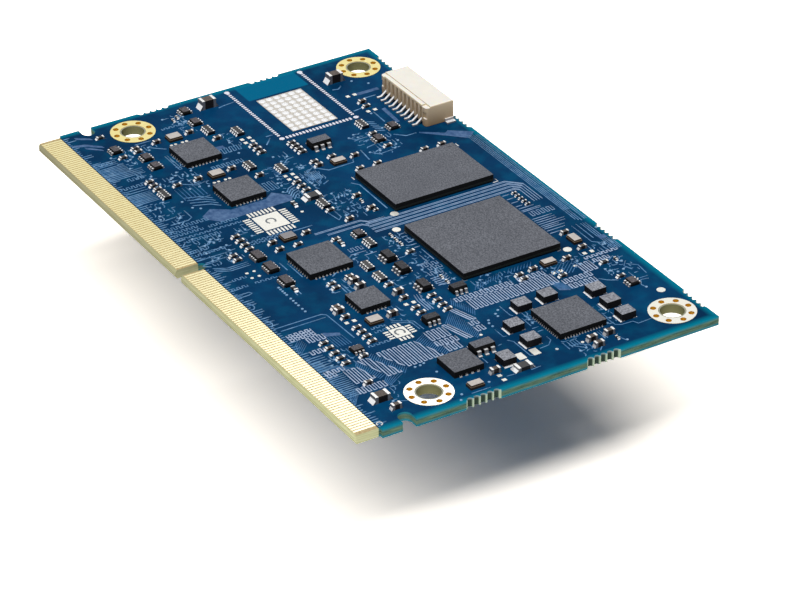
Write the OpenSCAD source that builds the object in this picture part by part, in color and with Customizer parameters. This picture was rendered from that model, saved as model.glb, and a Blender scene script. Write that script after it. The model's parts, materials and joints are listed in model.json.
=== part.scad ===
// System on module: a card-edge computer board with its chips, connector and small parts.
// Origin: centre of the board in plan, at the lowest face of the underside capacitors.
// +X runs along the contact edge, +Y from the contact edge to the back edge, +Z out of the component side.

/* [Board] */
// Length of the board along its contact edge
board_x = 82; // [82:0.5:110]
// Depth of the board from contact edge to back edge
board_y = 50; // [50:0.5:70]
// Thickness of the laminate
board_t = 1.2; // [1:0.1:1.6]
// How much narrower the contact tongue is on each side
tongue_inset = 0.5; // [0.2:0.1:0.8]
// Depth of the contact tongue from the contact edge
tongue_y = 3.4; // [3.2:0.1:3.8]
// Corner radius of the tongue
tongue_r = 0.3; // [0.1:0.05:0.5]
// Depth of the bevel on the contact edge, measured across the face
bevel_y = 0.25; // [0.15:0.05:0.3]
// Height of the bevel on the contact edge, measured through the board
bevel_z = 0.38; // [0.2:0.02:0.45]
// Width of the key slot
key_w = 1.5; // [1.2:0.1:1.6]
// Depth of the key slot from the contact edge
key_depth = 3.9; // [3.5:0.1:4.5]
// Offset of the key slot from the middle of the board
key_x = -2; // [-3:0.5:0]
// Width of the retention notch in each short side
notch_w = 1.8; // [1.4:0.1:2.2]
// Depth of the retention notch
notch_depth = 1.95; // [1.5:0.05:2.3]
// Distance of the retention notch from the contact edge
notch_y = 7; // [6.5:0.1:7.2]

/* [Mounting holes] */
// Radius of the mounting hole
hole_r = 1.5; // [1.2:0.05:1.6]
// Distance of the holes from the short sides and the back edge
hole_inset = 4; // [3.8:0.1:4.4]
// Distance of the front holes from the contact edge
hole_front = 12; // [11.5:0.1:12.4]
// Radius of the ring pad round each hole
ring_r = 2.97; // [2.9:0.01:3.2]
// Width of bare laminate between the hole and its ring pad
ring_setback = 0.2; // [0.1:0.02:0.24]
// Radius of the circle of stitching vias
via_circle_r = 2.32; // [2.3:0.01:2.4]
// Radius of each stitching via
via_r = 0.38; // [0.2:0.01:0.38]
// Number of stitching vias round each hole
via_count = 8; // [4:1:8]
// Wall of the plating inside holes
plating_t = 0.05; // [0.03:0.01:0.08]

/* [Edge contacts] */
// Pitch of the edge contacts
contact_pitch = 0.5; // [0.5:0.05:0.8]
// Width of one edge contact
contact_w = 0.35; // [0.25:0.01:0.4]
// Length of one edge contact
contact_l = 2.85; // [2.5:0.05:2.9]
// Gap between the bevel and the ends of the contacts
contact_gap = 0.02; // [0.01:0.01:0.1]
// Thickness of contacts, pads and rings
copper_t = 0.04; // [0.03:0.01:0.08]
// Margin from the end of the tongue to the middle of the outermost top contact
contact_margin = 0.75; // [0.6:0.05:1.2]
// Distance from the middle of the key slot to the nearest top contact
contact_key_gap = 1.25; // [1.1:0.05:1.6]

/* [Break-off tabs] */
// Length of the scar that a broken tab leaves
tab_l = 4.6; // [4:0.1:5.5]
// Depth of the scar
tab_depth = 0.12; // [0.06:0.02:0.4]
// Radius of the half holes in the scar
bite_r = 0.37; // [0.25:0.01:0.4]
// Pitch of the half holes
bite_pitch = 0.9; // [0.85:0.01:0.95]
// Number of half holes in a scar
bite_count = 5; // [3:1:5]

/* [Ball grid packages] */
// Side of the processor package
cpu_size = 14; // [12:0.5:14.5]
// Thickness of the processor's moulding
cpu_mould_t = 0.53; // [0.35:0.01:0.9]
// Pitch of the processor's solder balls
cpu_ball_pitch = 0.8; // [0.8:0.05:1]
// Short side of the memory package
memory_w = 10; // [9:0.5:10.5]
// Long side of the memory package
memory_l = 14.5; // [13.5:0.5:15]
// Thickness of the memory's moulding
memory_mould_t = 0.6; // [0.35:0.01:0.9]
// Thickness of the laminate under a package's moulding
substrate_t = 0.28; // [0.2:0.01:0.4]
// How far a moulding stands back from its laminate
mould_relief = 0.03; // [0.01:0.01:0.08]
// Height of a squashed solder ball
ball_h = 0.24; // [0.2:0.01:0.32]
// Radius of a squashed solder ball
ball_r = 0.22; // [0.18:0.01:0.25]
// Radius of the dot that marks a package's first corner
dot_r = 0.3; // [0.2:0.05:0.4]
// Distance of that dot from the two sides
dot_inset = 1; // [0.8:0.1:1.5]
// Pitch of the memory's solder balls
memory_ball_pitch = 0.8; // [0.7:0.05:0.85]

/* [No-lead packages] */
// Thickness of the no-lead packages
flat_pack_t = 0.85; // [0.7:0.01:1]
// Height of a no-lead terminal on the package side
flat_lead_h = 0.2; // [0.1:0.01:0.3]
// Length of a no-lead terminal under the package
flat_lead_l = 0.4; // [0.3:0.01:0.5]
// Share of the pitch that a terminal fills
flat_lead_fill = 0.45; // [0.4:0.01:0.6]
// How far the solder reaches out from a no-lead terminal
flat_solder_reach = 0.13; // [0.1:0.01:0.3]

/* [Six-lead packages] */
// Thickness of the lead strip
lead_t = 0.13; // [0.1:0.01:0.18]
// Length of the slim package
slim_l = 1.5; // [1.4:0.05:1.7]
// Width of the slim package
slim_w = 1.15; // [1:0.05:1.25]
// Height of the slim package
slim_h = 0.6; // [0.5:0.01:0.7]
// Lead span of the slim package
slim_span = 1.8; // [1.7:0.05:1.9]
// Length of the medium package
medium_l = 2; // [1.9:0.05:2.1]
// Width of the medium package
medium_w = 1.25; // [1.15:0.05:1.35]
// Height of the medium package
medium_h = 0.95; // [0.8:0.01:1.1]
// Lead span of the medium package
medium_span = 2.1; // [2:0.05:2.3]
// Length of the large package
large_l = 2.9; // [2.7:0.05:3]
// Width of the large package
large_w = 1.6; // [1.5:0.05:1.75]
// Height of the large package
large_h = 1.1; // [0.9:0.01:1.3]
// Lead span of the large package
large_span = 2.8; // [2.6:0.05:3]
// Length of the line-protection array
array_l = 2.1; // [2:0.05:2.4]
// Width of the line-protection array
array_w = 1.3; // [1.2:0.05:1.4]
// Height of the line-protection array
array_h = 0.7; // [0.5:0.01:0.85]
// Lead span of the line-protection array
array_span = 1.7; // [1.6:0.05:1.8]

/* [Chip parts] */
// Length of the small capacitors and the resistors
small_l = 1; // [0.95:0.01:1.05]
// Width of the small capacitors and the resistors
small_w = 0.5; // [0.45:0.01:0.55]
// Height of the small capacitors
small_cap_h = 0.5; // [0.4:0.01:0.6]
// Height of the resistors
resistor_h = 0.36; // [0.3:0.01:0.45]
// Thickness of the dark coat on a resistor
coat_t = 0.03; // [0.02:0.01:0.05]
// Length of an end cap on the small parts
small_end = 0.2; // [0.15:0.01:0.28]
// Length of the medium capacitors
medium_cap_l = 1.2; // [1.1:0.01:1.25]
// Width of the medium capacitors
medium_cap_w = 0.65; // [0.6:0.01:0.7]
// Height of the medium capacitors
medium_cap_h = 0.7; // [0.6:0.01:0.8]
// Length of an end cap on the medium capacitors
medium_end = 0.27; // [0.2:0.01:0.35]
// Length of the large capacitors
large_cap_l = 2; // [1.9:0.05:2.1]
// Width of the large capacitors
large_cap_w = 1.25; // [1.15:0.05:1.3]
// Height of the large capacitors
large_cap_h = 0.9; // [0.8:0.05:1]
// Height of the two tall capacitors
tall_cap_h = 1.25; // [1:0.05:1.4]
// Height of the large resistors
large_resistor_h = 0.55; // [0.45:0.01:0.65]
// Length of an end cap on the large capacitors and resistors
large_end = 0.38; // [0.3:0.01:0.5]
// Length of the tiny resistors
tiny_l = 0.6; // [0.55:0.01:0.65]
// Width of the tiny resistors
tiny_w = 0.32; // [0.28:0.01:0.35]
// Height of the tiny resistors
tiny_h = 0.26; // [0.2:0.01:0.3]
// Length of an end cap on the tiny resistors
tiny_end = 0.15; // [0.1:0.01:0.18]
// Length of a four-element resistor array
network_l = 2; // [1.9:0.05:2.1]
// Width of a four-element resistor array over its terminals
network_w = 1; // [0.95:0.01:1.05]
// Height of a four-element resistor array
network_h = 0.45; // [0.35:0.01:0.5]
// How far the solder reaches out from a small chip part
solder_reach = 0.17; // [0.1:0.01:0.22]
// How far the solder reaches out from a large chip part
large_solder_reach = 0.4; // [0.2:0.01:0.45]
// How far a chip's middle stands back from its end caps
body_relief = 0.02; // [0.01:0.005:0.03]

/* [Crystals and inductors] */
// Length of the crystals
crystal_l = 1.9; // [1.8:0.05:2.1]
// Width of the large crystals
crystal_w = 1.5; // [1.4:0.05:1.65]
// Width of the slim crystals
slim_crystal_w = 1.2; // [1.1:0.05:1.3]
// Height of the ceramic base
crystal_base_h = 0.35; // [0.25:0.01:0.5]
// Height of the metal lid
crystal_lid_h = 0.22; // [0.15:0.01:0.3]
// Rim of ceramic left round the lid
crystal_rim = 0.1; // [0.05:0.01:0.15]
// Length of the inductors
inductor_l = 2; // [1.9:0.05:2.1]
// Width of the inductors
inductor_w = 1.75; // [1.6:0.05:1.85]
// Height of the inductors
inductor_h = 1; // [0.8:0.05:1.2]
// Length of an inductor terminal
inductor_end = 0.4; // [0.3:0.05:0.5]
// Height of an inductor terminal on the end face
inductor_end_h = 0.14; // [0.1:0.01:0.3]

/* [Wire connector] */
// Number of contacts
wire_count = 10; // [6:1:10]
// Pitch of the contacts
wire_pitch = 1; // [0.9:0.05:1]
// Wall beyond the outermost contact at each end
wire_end = 1.25; // [1.1:0.05:1.4]
// Depth of the housing
wire_y = 4.2; // [4:0.05:4.4]
// Gap between the mouth and the back edge of the board
wire_edge_gap = 0.9; // [0.6:0.05:1.1]
// Height of the housing
wire_h = 2.9; // [2.6:0.05:3.2]
// Thickness of the housing's top, bottom and side walls
wire_wall = 0.55; // [0.4:0.05:0.65]
// Thickness of the housing's back wall
wire_back = 1.1; // [1:0.05:1.3]
// Radius of the housing's two upright corners beside the contacts
wire_corner_r = 0.45; // [0.2:0.05:0.5]
// Radius of the edges round the housing's top
wire_edge_r = 0.2; // [0.1:0.02:0.3]
// Width of the grooves in the back wall
groove_w = 0.46; // [0.3:0.02:0.5]
// Depth of the grooves in the back wall
groove_d = 0.45; // [0.3:0.05:0.5]
// Width of a contact
wire_contact_w = 0.3; // [0.2:0.02:0.36]
// Thickness of a contact
wire_contact_t = 0.2; // [0.14:0.01:0.22]
// How far a contact's foot reaches out of the housing
wire_foot = 1.3; // [1:0.05:1.5]

/* [Hidden] */
round_fn = 32;
ball_fn = 16;
eps = 0.01;
// How far a cut that opens a face starts outside it
past = 1;

// Levels
under_h = small_cap_h;
board_z0 = under_h;
board_z1 = board_z0 + board_t;
front_y = -board_y / 2;
back_y = board_y / 2;
tongue_x = board_x - 2 * tongue_inset;
tongue_top_y = front_y + tongue_y;

// Mounting holes
hole_x = board_x / 2 - hole_inset;
hole_back_y = back_y - hole_inset;
hole_front_y = front_y + hole_front;
HOLES = [for (x = [-hole_x, hole_x]) for (y = [hole_front_y, hole_back_y]) [x, y]];

// Tab scars: middle, and the turn that points the scar's depth into the board
tab_side_front = -8;
tab_side_back = 8.6;
tab_back_x1 = 17.1;
tab_back_x2 = 36;
TABS = [
    [-board_x / 2, tab_side_back, -90], [-board_x / 2, tab_side_front, -90],
    [board_x / 2, tab_side_back, 90], [board_x / 2, tab_side_front, 90],
    [-tab_back_x2, back_y, 180], [-tab_back_x1, back_y, 180],
    [tab_back_x1, back_y, 180], [tab_back_x2, back_y, 180]];

// Edge contacts: each side of the key has as many as fit its part of the tongue
contact_y = front_y + bevel_y + contact_gap;
top_end = tongue_x / 2 - contact_margin;
under_shift = contact_pitch / 2;
TOP_LEFT_N = floor((top_end + key_x - contact_key_gap) / contact_pitch + eps) + 1;
TOP_RIGHT_N = floor((top_end - key_x - contact_key_gap) / contact_pitch + eps) + 1;
TOP_CONTACTS = concat(
    [for (i = [0 : TOP_LEFT_N - 1]) key_x - contact_key_gap - i * contact_pitch],
    [for (i = [0 : TOP_RIGHT_N - 1]) key_x + contact_key_gap + i * contact_pitch]);
UNDER_CONTACTS = concat(
    [for (i = [0 : TOP_LEFT_N]) key_x - contact_key_gap + under_shift - i * contact_pitch],
    [for (i = [0 : TOP_RIGHT_N]) key_x + contact_key_gap - under_shift + i * contact_pitch]);

// Ball grid packages: middle
CPU = [11, 10.5];
MEMORY = [-5.8, 12.4];
cpu_ball_n = floor((cpu_size - 1) / cpu_ball_pitch);
memory_rows = floor((memory_l - 1.5) / memory_ball_pitch);
memory_columns = [2, 3, 4];

// Dots that mark the first corner: depth, and the smaller dot of the no-lead packages
dot_d = 0.03;
small_dot_r = 0.2;
small_dot_inset = 0.65;

// No-lead packages: x, y, side, terminals on one side, pitch
LEFT_CHIP = [-26.95, -9.15, 5, 8, 0.5];
RIGHT_CHIP = [-15.25, -9.15, 5, 8, 0.5];
BRIDGE_CHIP = [5.05, -9.15, 6, 10, 0.5];
CONTROLLER_CHIP = [16.25, -8.95, 4, 6, 0.5];
POWER_MANAGER = [32.3, 9.3, 6.5, 14, 0.4];
POWER_SWITCH = [34.2, -7, 4, 4, 0.8];
ALL_SIDES = [0, 90, 180, 270];
TWO_SIDES = [90, 270];

// Six-lead packages: x, y, turn
SLIM = [
    [-37.9, -4.9, 0], [-34.5, -5.1, 0], [-29.4, -15, 0], [-26.8, -15, 0], [-33.2, -17.5, 0],
    [-20, 16.2, 0], [-18, 12.9, 0], [1.8, -1.7, 0], [29.2, 20.5, 0], [25, -15.6, 90]];
MEDIUM = [[8.7, -1.6, 0], [12, -1.6, 0], [16.9, -1.5, 0], [24, -4.8, 90], [19.6, 1.7, 90]];
LARGE = [[-20.8, 5.6, 90], [32.5, -3, 90]];
ARRAYS = [[0.1, -15, 0], [3.3, -15, 0], [7.1, -15, 0]];
draft = 0.09;
package_lift = 0.05;
lead_fill = 0.5;
lead_lean = 0.04;
knee_share = 0.15;
tiny_dot_r = 0.12;
tiny_dot_inset = 0.32;
slim_pitch = 0.5;
medium_pitch = 0.65;
large_pitch = 0.95;
array_pitch = 0.45;
array_leads = 4;

// Chip parts: share of an end that the solder climbs, and the terminals of the resistor arrays
solder_climb = 0.5;
network_end = 0.18;
network_pitch = network_l / 4;
network_fill = 0.6;

// Chip parts: x, y, turn (0 lays the long axis along Y)
SMALL_CAPS = [
    [-32.6, -7, 0], [-21.2, -7, 0], [-29.3, -4.7, 0], [-17.8, -4.8, 0], [-15.9, 8.1, 0],
    [-16.1, 2.9, 0], [-32.5, -11.9, 0], [-21.1, -11.9, 0], [-12.5, 19.1, 0], [-12.5, 16.5, 0],
    [-12.5, 9.5, 0], [-12.5, 6.9, 0], [-6.7, 3, 0], [-3.1, 3, 0], [-2.1, -0.7, 0],
    [-2, -7, 0], [-2, -11.8, 0], [-0.1, -11.8, 0], [10.1, -7.9, 0], [15.4, -12.9, 0],
    [17.9, -13, 0], [17.8, -4.8, 0], [14.9, 20.1, 0], [19, 20, 0],
    [20.3, 16.9, 0], [20.3, 12, 0], [31.9, -18.1, 0],
    [-28, 16.3, 0]];
MEDIUM_CAPS = [
    [37.4, 11.7, 0], [37.5, 9.2, 0], [39, 9.2, 0], [37.5, -4.3, 0], [38, -18, 0],
    [16.3, -4.7, 0], [11.2, -7.9, 0], [12.7, -7.9, 0], [20.3, -7.9, 0], [16.4, -13, 0]];
LARGE_CAPS = [[35.5, -18.6, 0]];
TALL_CAPS = [[-37.9, -1.5, 0], [-35.3, 16.3, 0]];
RESISTOR_ROWS = [
    // first x, y, pitch, count
    [-25.2, -1.6, 1.1, 3], [-13.8, -1.6, 1.2, 3], [-23.2, 2.9, 0.95, 4], [-23.7, -17.5, 1.1, 3],
    [-5.8, -14.9, 1.2, 4], [-1.8, -17.4, 1.1, 2], [20.6, -13, 1.2, 4], [21.6, -18.1, 1.3, 5],
    [20.3, -1.6, 1.2, 3], [20.4, -4.7, 1.3, 2], [10.3, -10.5, 1.1, 2], [20.5, 9.9, 1.1, 2],
    [-32.5, -15, 0.9, 2]];
RESISTOR_SINGLES = [
    [-5.4, -1.6, 0], [-31.2, -17.4, 0], [-37.5, -17.5, 0], [-21.1, -14.9, 0], [-0.1, -9.2, 0],
    [8.9, -14.9, 90], [14.1, -4.7, 0], [19, -1.6, 0], [1.3, -4.7, 0], [2.4, -4.6, 90],
    [-17.3, 2.9, 0], [-17.3, 5.5, 0], [-26.7, 16.2, 0], [-19.8, 13.1, 0], [-16, 13.1, 0],
    [-9.1, -4.7, 90], [23.4, 14.3, 0], [27.2, 20.2, 0], [8.7, 1.6, 0], [23.4, 20.3, 0],
    [26.5, -15.5, 0]];
LARGE_RESISTORS = [[-9.5, -1.8, 0], [38.4, -1, 0]];
tiny_pitch = 0.8;
TINY_RESISTORS = concat(
    [for (i = [0 : 4]) [3.1 + i * tiny_pitch, 20.2, 0]],
    [for (x = [4, 5.2, 6.4]) [x, 1.6, 90]],
    [for (x = [15.8, 17.1]) [x, 1.7, 90]],
    [[-37.2, -6.4, 90], [-36.7, -7.2, 90], [-5.4, 2.9, 90], [-2.45, 3.3, 0], [23.4, 22, 90], [38.7, 12, 90]]);
RESISTORS = concat(RESISTOR_SINGLES,
    [for (r = RESISTOR_ROWS) for (i = [0 : r[3] - 1]) [r[0] + i * r[2], r[1], 0]]);
NETWORKS = [
    [-29.5, -1.6, 0], [-17.9, -1.6, 0], [-7.2, -1.6, 0], [4.3, -1.6, 0], [-31.8, -4.7, 0],
    [-20.6, -4.7, 0], [9, -4.7, 0], [12, -4.7, 0], [-22.6, 13.1, 0], [-19.7, -17.5, 0]];
CRYSTALS = [[-32.4, -9.4, 0], [-20.9, -9.4, 0], [-2.2, -9.5, 0], [20.4, -10.5, 0]];
SLIM_CRYSTALS = [[-15.6, 5.5, 0], [16.9, 20.2, 90], [20, 14.4, 0], [38.8, -7.8, 0]];
INDUCTORS = [
    [27, 6, 0], [30.5, 2.7, 0], [34.2, 2.7, 0], [26.8, 9.8, 0],
    [28.7, 15.5, 0], [31.9, 15.5, 0], [35.1, 15.5, 0], [36.2, -2, 90]];
// The decoupling capacitors of a package sit below it, in a grid of columns and rows
function grid_below(middle, columns, rows, pitch, turn) = [
    for (i = [0 : columns - 1]) for (j = [0 : rows - 1])
        [middle[0] + (i - (columns - 1) / 2) * pitch, middle[1] + (j - (rows - 1) / 2) * pitch, turn]];
cpu_under_pitch = 4 * cpu_ball_pitch;
memory_under_pitch = 6 * memory_ball_pitch;
chip_under_pitch = 2.5;
power_under_pitch = 3.5;
UNDER_CAPS = concat(
    grid_below(CPU, 4, 3, cpu_under_pitch, 0),
    grid_below(MEMORY, 2, 2, memory_under_pitch, 90),
    grid_below(LEFT_CHIP, 1, 2, chip_under_pitch, 0),
    grid_below(RIGHT_CHIP, 1, 1, chip_under_pitch, 0),
    grid_below(BRIDGE_CHIP, 1, 2, chip_under_pitch, 0),
    grid_below(POWER_MANAGER, 2, 1, power_under_pitch, 0),
    grid_below(POWER_SWITCH, 1, 1, chip_under_pitch, 90));

// Bare pads
chip_pad_w = 0.55;
chip_pad_l = 0.5;
chip_pad_step = 1.05;
OPEN_CHIPS = [
    [-27.5, -1.5, 0], [-26.5, -1.5, 0], [-16.1, -1.5, 0], [-15.1, -1.5, 0], [19, -4.7, 0],
    [-30.5, 16.1, 0], [-25.5, 16.3, 0], [22.2, 14.3, 0], [18.9, -12.9, 0], [20.2, 20.1, 0],
    [38.9, -4.25, 90]];
OPEN_LARGE_CHIP = [36.1, 1.1];
large_pad_w = 1.4;
large_pad_l = 1;
large_pad_step = 2;
TEST_PADS = [
    [2.5, -16.9], [3.8, -16.9], [2.5, -17.9], [3.8, -17.9], [-7.1, -4.7],
    [29.6, -1.3], [22.1, 16.9], [37.3, 8], [37, 4.6],
    [-31, -8.3], [-31, -8.9], [-31, -9.9], [-31, -10.5],
    [-19.4, -8.3], [-19.4, -8.9], [-19.4, -9.9], [-19.4, -10.5]];
test_pad_r = 0.21;
FIDUCIALS = [[-0.5, 4.8], [3, 3], [18.3, 18.3], [hole_x - 4.7, hole_back_y + 1.6]];
fiducial_r = 0.55;

// Open quad footprints: x, y, centre pad side, terminals on one side, pad offset, pad length
OPEN_QUADS = [[-7.1, -9.15, 3.6, 8, 2.55, 1], [24, -9.1, 2, 4, 1.5, 0.7]];
quad_pad_w = 0.28;
quad_pad_pitch = 0.5;

// Open radio-module footprint
module_x0 = -40.2;
module_x1 = -25;
module_y0 = 2.5;
module_y1 = 13.6;
module_pad_pitch = 0.5;
module_pad_w = 0.3;
module_row_pad_l = 0.45;
module_column_pad_l = 0.6;
module_corner_r = 0.36;
ground_x0 = -35.8;
ground_x1 = -25.95;
ground_y0 = 4.7;
ground_y1 = 11.4;
module_nx = floor((module_x1 - module_x0) / module_pad_pitch) - 1;
module_ny = floor((module_y1 - module_y0) / module_pad_pitch) - 1;
bump_nx = 9;
bump_ny = 6;
bump_r = 0.46;
bump_top_r = 0.26;
bump_h = 0.1;

// Wire connector: middle of the contact row, and the face that the contacts leave
WIRE = [-23.5, back_y - wire_edge_gap - wire_y];
wire_x = (wire_count - 1) * wire_pitch + 2 * wire_end;
wire_row = (wire_count - 1) * wire_pitch;
wire_lift = 0.06;
cavity_end = 0.6;
cavity_z0 = wire_lift + wire_wall;
cavity_h = wire_h - wire_lift - 2 * wire_wall;
// The blades lie low in the mouth, and the grooves end below a lip
blade_lift = 0.12;
blade_z = cavity_z0 + blade_lift;
blade_l = 2.1;
groove_top = wire_h - 0.35;
// Room under the back wall for the bent contacts, between two end feet
undercut_h = 0.5;
undercut_end = 0.45;
// Line along the top near the back wall, and the steps at its ends
line_y = 0.55;
line_w = 0.14;
line_d = 0.12;
end_step_x = 1;
end_step_y = 0.7;
end_step_z = 0.22;
end_pocket_x = 0.75;
end_pocket_y = 0.25;
end_pocket_z = 1.1;
end_pocket_h = 0.95;
// Polarising slots in the bottom wall at the mouth
slot_w = 0.8;
slot_l = 1.2;
slot_inset = 2.2;
// Shape of the contact's foot
foot_l = 0.6;
anchor_w = 1.3;
anchor_t = 0.2;
anchor_foot = 0.75;
anchor_h = 0.5;
anchor_y = wire_y - 0.7;

// Places on the board
module on_top() translate([0, 0, board_z1]) children();
module at(places) for (p = places) translate([p[0], p[1], 0]) rotate(p[2]) children();
module block(x, y, z) translate([-x / 2, -y / 2, 0]) cube([x, y, z]);

// A section drawn in the Y-Z plane and run along X
module run_x(length) translate([-length / 2, 0, 0]) rotate([90, 0, 90]) linear_extrude(length) children();

// Solder wedge that leans on the end of a part, beyond y
module solder_wedge(y, width, reach, height)
    run_x(width) polygon([[y, 0], [y + reach, 0], [y, height]]);

module both_ends() {
    children();
    rotate(180) children();
}

// BOARD
module tab_scar() {
    translate([-tab_l / 2, -eps]) square([tab_l, tab_depth + eps]);
    for (i = [0 : bite_count - 1])
        translate([(i - (bite_count - 1) / 2) * bite_pitch, tab_depth]) circle(r = bite_r, $fn = 20);
}

module key_slot() {
    key_r = key_w / 2;
    translate([key_x - key_r, front_y - eps]) square([key_w, key_depth - key_r + eps]);
    translate([key_x, front_y + key_depth - key_r]) circle(r = key_r, $fn = round_fn);
}

module side_notch() {
    notch_r = notch_w / 2;
    translate([-board_x / 2 - eps, front_y + notch_y - notch_r])
        square([notch_depth - notch_r + eps, notch_w]);
    translate([-board_x / 2 + notch_depth - notch_r, front_y + notch_y])
        circle(r = notch_r, $fn = round_fn);
}

module tongue_plan() {
    half = tongue_x / 2;
    translate([-half, front_y + tongue_r]) square([tongue_x, tongue_y - tongue_r + eps]);
    translate([-half + tongue_r, front_y]) square([tongue_x - 2 * tongue_r, tongue_y]);
    for (s = [-1, 1]) translate([s * (half - tongue_r), front_y + tongue_r])
        circle(r = tongue_r, $fn = round_fn);
}

module board_plan() difference() {
    union() {
        tongue_plan();
        translate([-board_x / 2, tongue_top_y]) square([board_x, board_y - tongue_y]);
    }
    key_slot();
    side_notch();
    mirror([1, 0]) side_notch();
    for (t = TABS) translate([t[0], t[1]]) rotate(t[2]) tab_scar();
}

module edge_bevel() run_x(board_x)
    polygon([[front_y - eps, -eps], [front_y + bevel_y + eps, -eps], [front_y - eps, bevel_z + eps]]);

module at_vias() for (i = [0 : via_count - 1]) rotate(i * 360 / via_count)
    translate([via_circle_r, 0, 0]) children();

module hole_cuts() for (h = HOLES) translate([h[0], h[1], -past]) {
    cylinder(r = hole_r, h = board_t + 2 * past, $fn = 48);
    at_vias() cylinder(r = via_r + plating_t, h = board_t + 2 * past, $fn = 20);
}

module circuit_board() color([0.05, 0.24, 0.43]) translate([0, 0, board_z0]) difference() {
    linear_extrude(board_t) board_plan();
    edge_bevel();
    translate([0, 0, board_t]) mirror([0, 0, 1]) edge_bevel();
    hole_cuts();
}

module contact_row(xs) for (x = xs) translate([x - contact_w / 2, contact_y, 0])
    cube([contact_w, contact_l, copper_t]);

module top_edge_contacts() color([0.93, 0.8, 0.45]) on_top() contact_row(TOP_CONTACTS);

module underside_edge_contacts() color([0.93, 0.8, 0.45])
    translate([0, 0, board_z0 - copper_t]) contact_row(UNDER_CONTACTS);

// A ring pad on each face, joined by the barrels of the stitching vias
module hole_plating() difference() {
    union() {
        for (z = [-copper_t, board_t]) translate([0, 0, z]) cylinder(r = ring_r, h = copper_t, $fn = 64);
        at_vias() cylinder(r = via_r + plating_t, h = board_t, $fn = 20);
    }
    for (z = [-copper_t, board_t]) translate([0, 0, z - eps])
        cylinder(r = hole_r + ring_setback, h = copper_t + 2 * eps, $fn = 48);
    translate([0, 0, -past]) at_vias() cylinder(r = via_r, h = board_t + 2 * past, $fn = 20);
}

module hole_platings() color([0.95, 0.82, 0.5])
    for (h = HOLES) translate([h[0], h[1], board_z0]) hole_plating();

// BALL GRID PACKAGES
module mark_dot(x, y, z, r) translate([x, y, z]) cylinder(r = r, h = 2 * dot_d, $fn = 24);

// A ball melted flat above and below
module ball() intersection() {
    translate([0, 0, ball_h / 2]) sphere(r = ball_r, $fn = ball_fn);
    block(2 * ball_r, 2 * ball_r, ball_h);
}

module package_moulding(x, y, h) difference() {
    block(x - 2 * mould_relief, y - 2 * mould_relief, h);
    mark_dot(dot_inset - x / 2, y / 2 - dot_inset, h - dot_d, dot_r);
}

module processor_substrate() color([0.13, 0.2, 0.14]) on_top()
    translate([CPU[0], CPU[1], ball_h]) block(cpu_size, cpu_size, substrate_t);

module processor_moulding() color([0.27, 0.27, 0.28]) on_top()
    translate([CPU[0], CPU[1], ball_h + substrate_t]) package_moulding(cpu_size, cpu_size, cpu_mould_t);

module processor_balls() color([0.75, 0.76, 0.78]) on_top() translate([CPU[0], CPU[1], 0])
    for (i = [0 : cpu_ball_n - 1]) for (j = [0 : cpu_ball_n - 1])
        translate([
            (i - (cpu_ball_n - 1) / 2) * cpu_ball_pitch,
            (j - (cpu_ball_n - 1) / 2) * cpu_ball_pitch, 0]) ball();

module memory_substrate() color([0.13, 0.2, 0.14]) on_top()
    translate([MEMORY[0], MEMORY[1], ball_h]) block(memory_w, memory_l, substrate_t);

module memory_moulding() color([0.25, 0.25, 0.26]) on_top()
    translate([MEMORY[0], MEMORY[1], ball_h + substrate_t])
        package_moulding(memory_w, memory_l, memory_mould_t);

module memory_balls() color([0.75, 0.76, 0.78]) on_top() translate([MEMORY[0], MEMORY[1], 0])
    for (s = [-1, 1]) for (c = memory_columns) for (j = [0 : memory_rows - 1])
        translate([s * c * memory_ball_pitch, (j - (memory_rows - 1) / 2) * memory_ball_pitch, 0]) ball();

// NO-LEAD PACKAGES
module flat_terminals(chip, sides, proud) for (a = sides) rotate(a) for (i = [0 : chip[3] - 1])
    translate([(i - (chip[3] - 1) / 2) * chip[4], -chip[2] / 2 - proud, 0])
        translate([-chip[4] * flat_lead_fill / 2, 0, 0])
            cube([chip[4] * flat_lead_fill, flat_lead_l + proud, flat_lead_h]);

module flat_body(chip, sides) on_top() translate([chip[0], chip[1], 0]) difference() {
    block(chip[2], chip[2], flat_pack_t);
    translate([0, 0, -eps]) flat_terminals_cut(chip, sides);
    mark_dot(small_dot_inset - chip[2] / 2, chip[2] / 2 - small_dot_inset, flat_pack_t - dot_d, small_dot_r);
}

module flat_terminals_cut(chip, sides) for (a = sides) rotate(a) for (i = [0 : chip[3] - 1])
    translate([(i - (chip[3] - 1) / 2) * chip[4] - chip[4] * flat_lead_fill / 2, -chip[2] / 2 - 1, 0])
        cube([chip[4] * flat_lead_fill, flat_lead_l + 1, flat_lead_h + eps]);

module flat_terminals_of(chip, sides) on_top() translate([chip[0], chip[1], 0])
    flat_terminals(chip, sides, body_relief);

module flat_solder_of(chip, sides) on_top() translate([chip[0], chip[1], 0])
    for (a = sides) rotate(a + 180) for (i = [0 : chip[3] - 1])
        translate([(i - (chip[3] - 1) / 2) * chip[4], 0, 0])
            solder_wedge(chip[2] / 2 + body_relief, chip[4] * flat_lead_fill, flat_solder_reach,
                flat_lead_h * solder_climb);

module left_interface_chip() color([0.28, 0.28, 0.29]) flat_body(LEFT_CHIP, ALL_SIDES);
module right_interface_chip() color([0.28, 0.28, 0.29]) flat_body(RIGHT_CHIP, ALL_SIDES);
module bridge_chip() color([0.28, 0.28, 0.29]) flat_body(BRIDGE_CHIP, ALL_SIDES);
module controller_chip() color([0.28, 0.28, 0.29]) flat_body(CONTROLLER_CHIP, ALL_SIDES);
module power_manager() color([0.28, 0.28, 0.29]) flat_body(POWER_MANAGER, ALL_SIDES);
module power_switch() color([0.26, 0.26, 0.27]) flat_body(POWER_SWITCH, TWO_SIDES);

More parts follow.
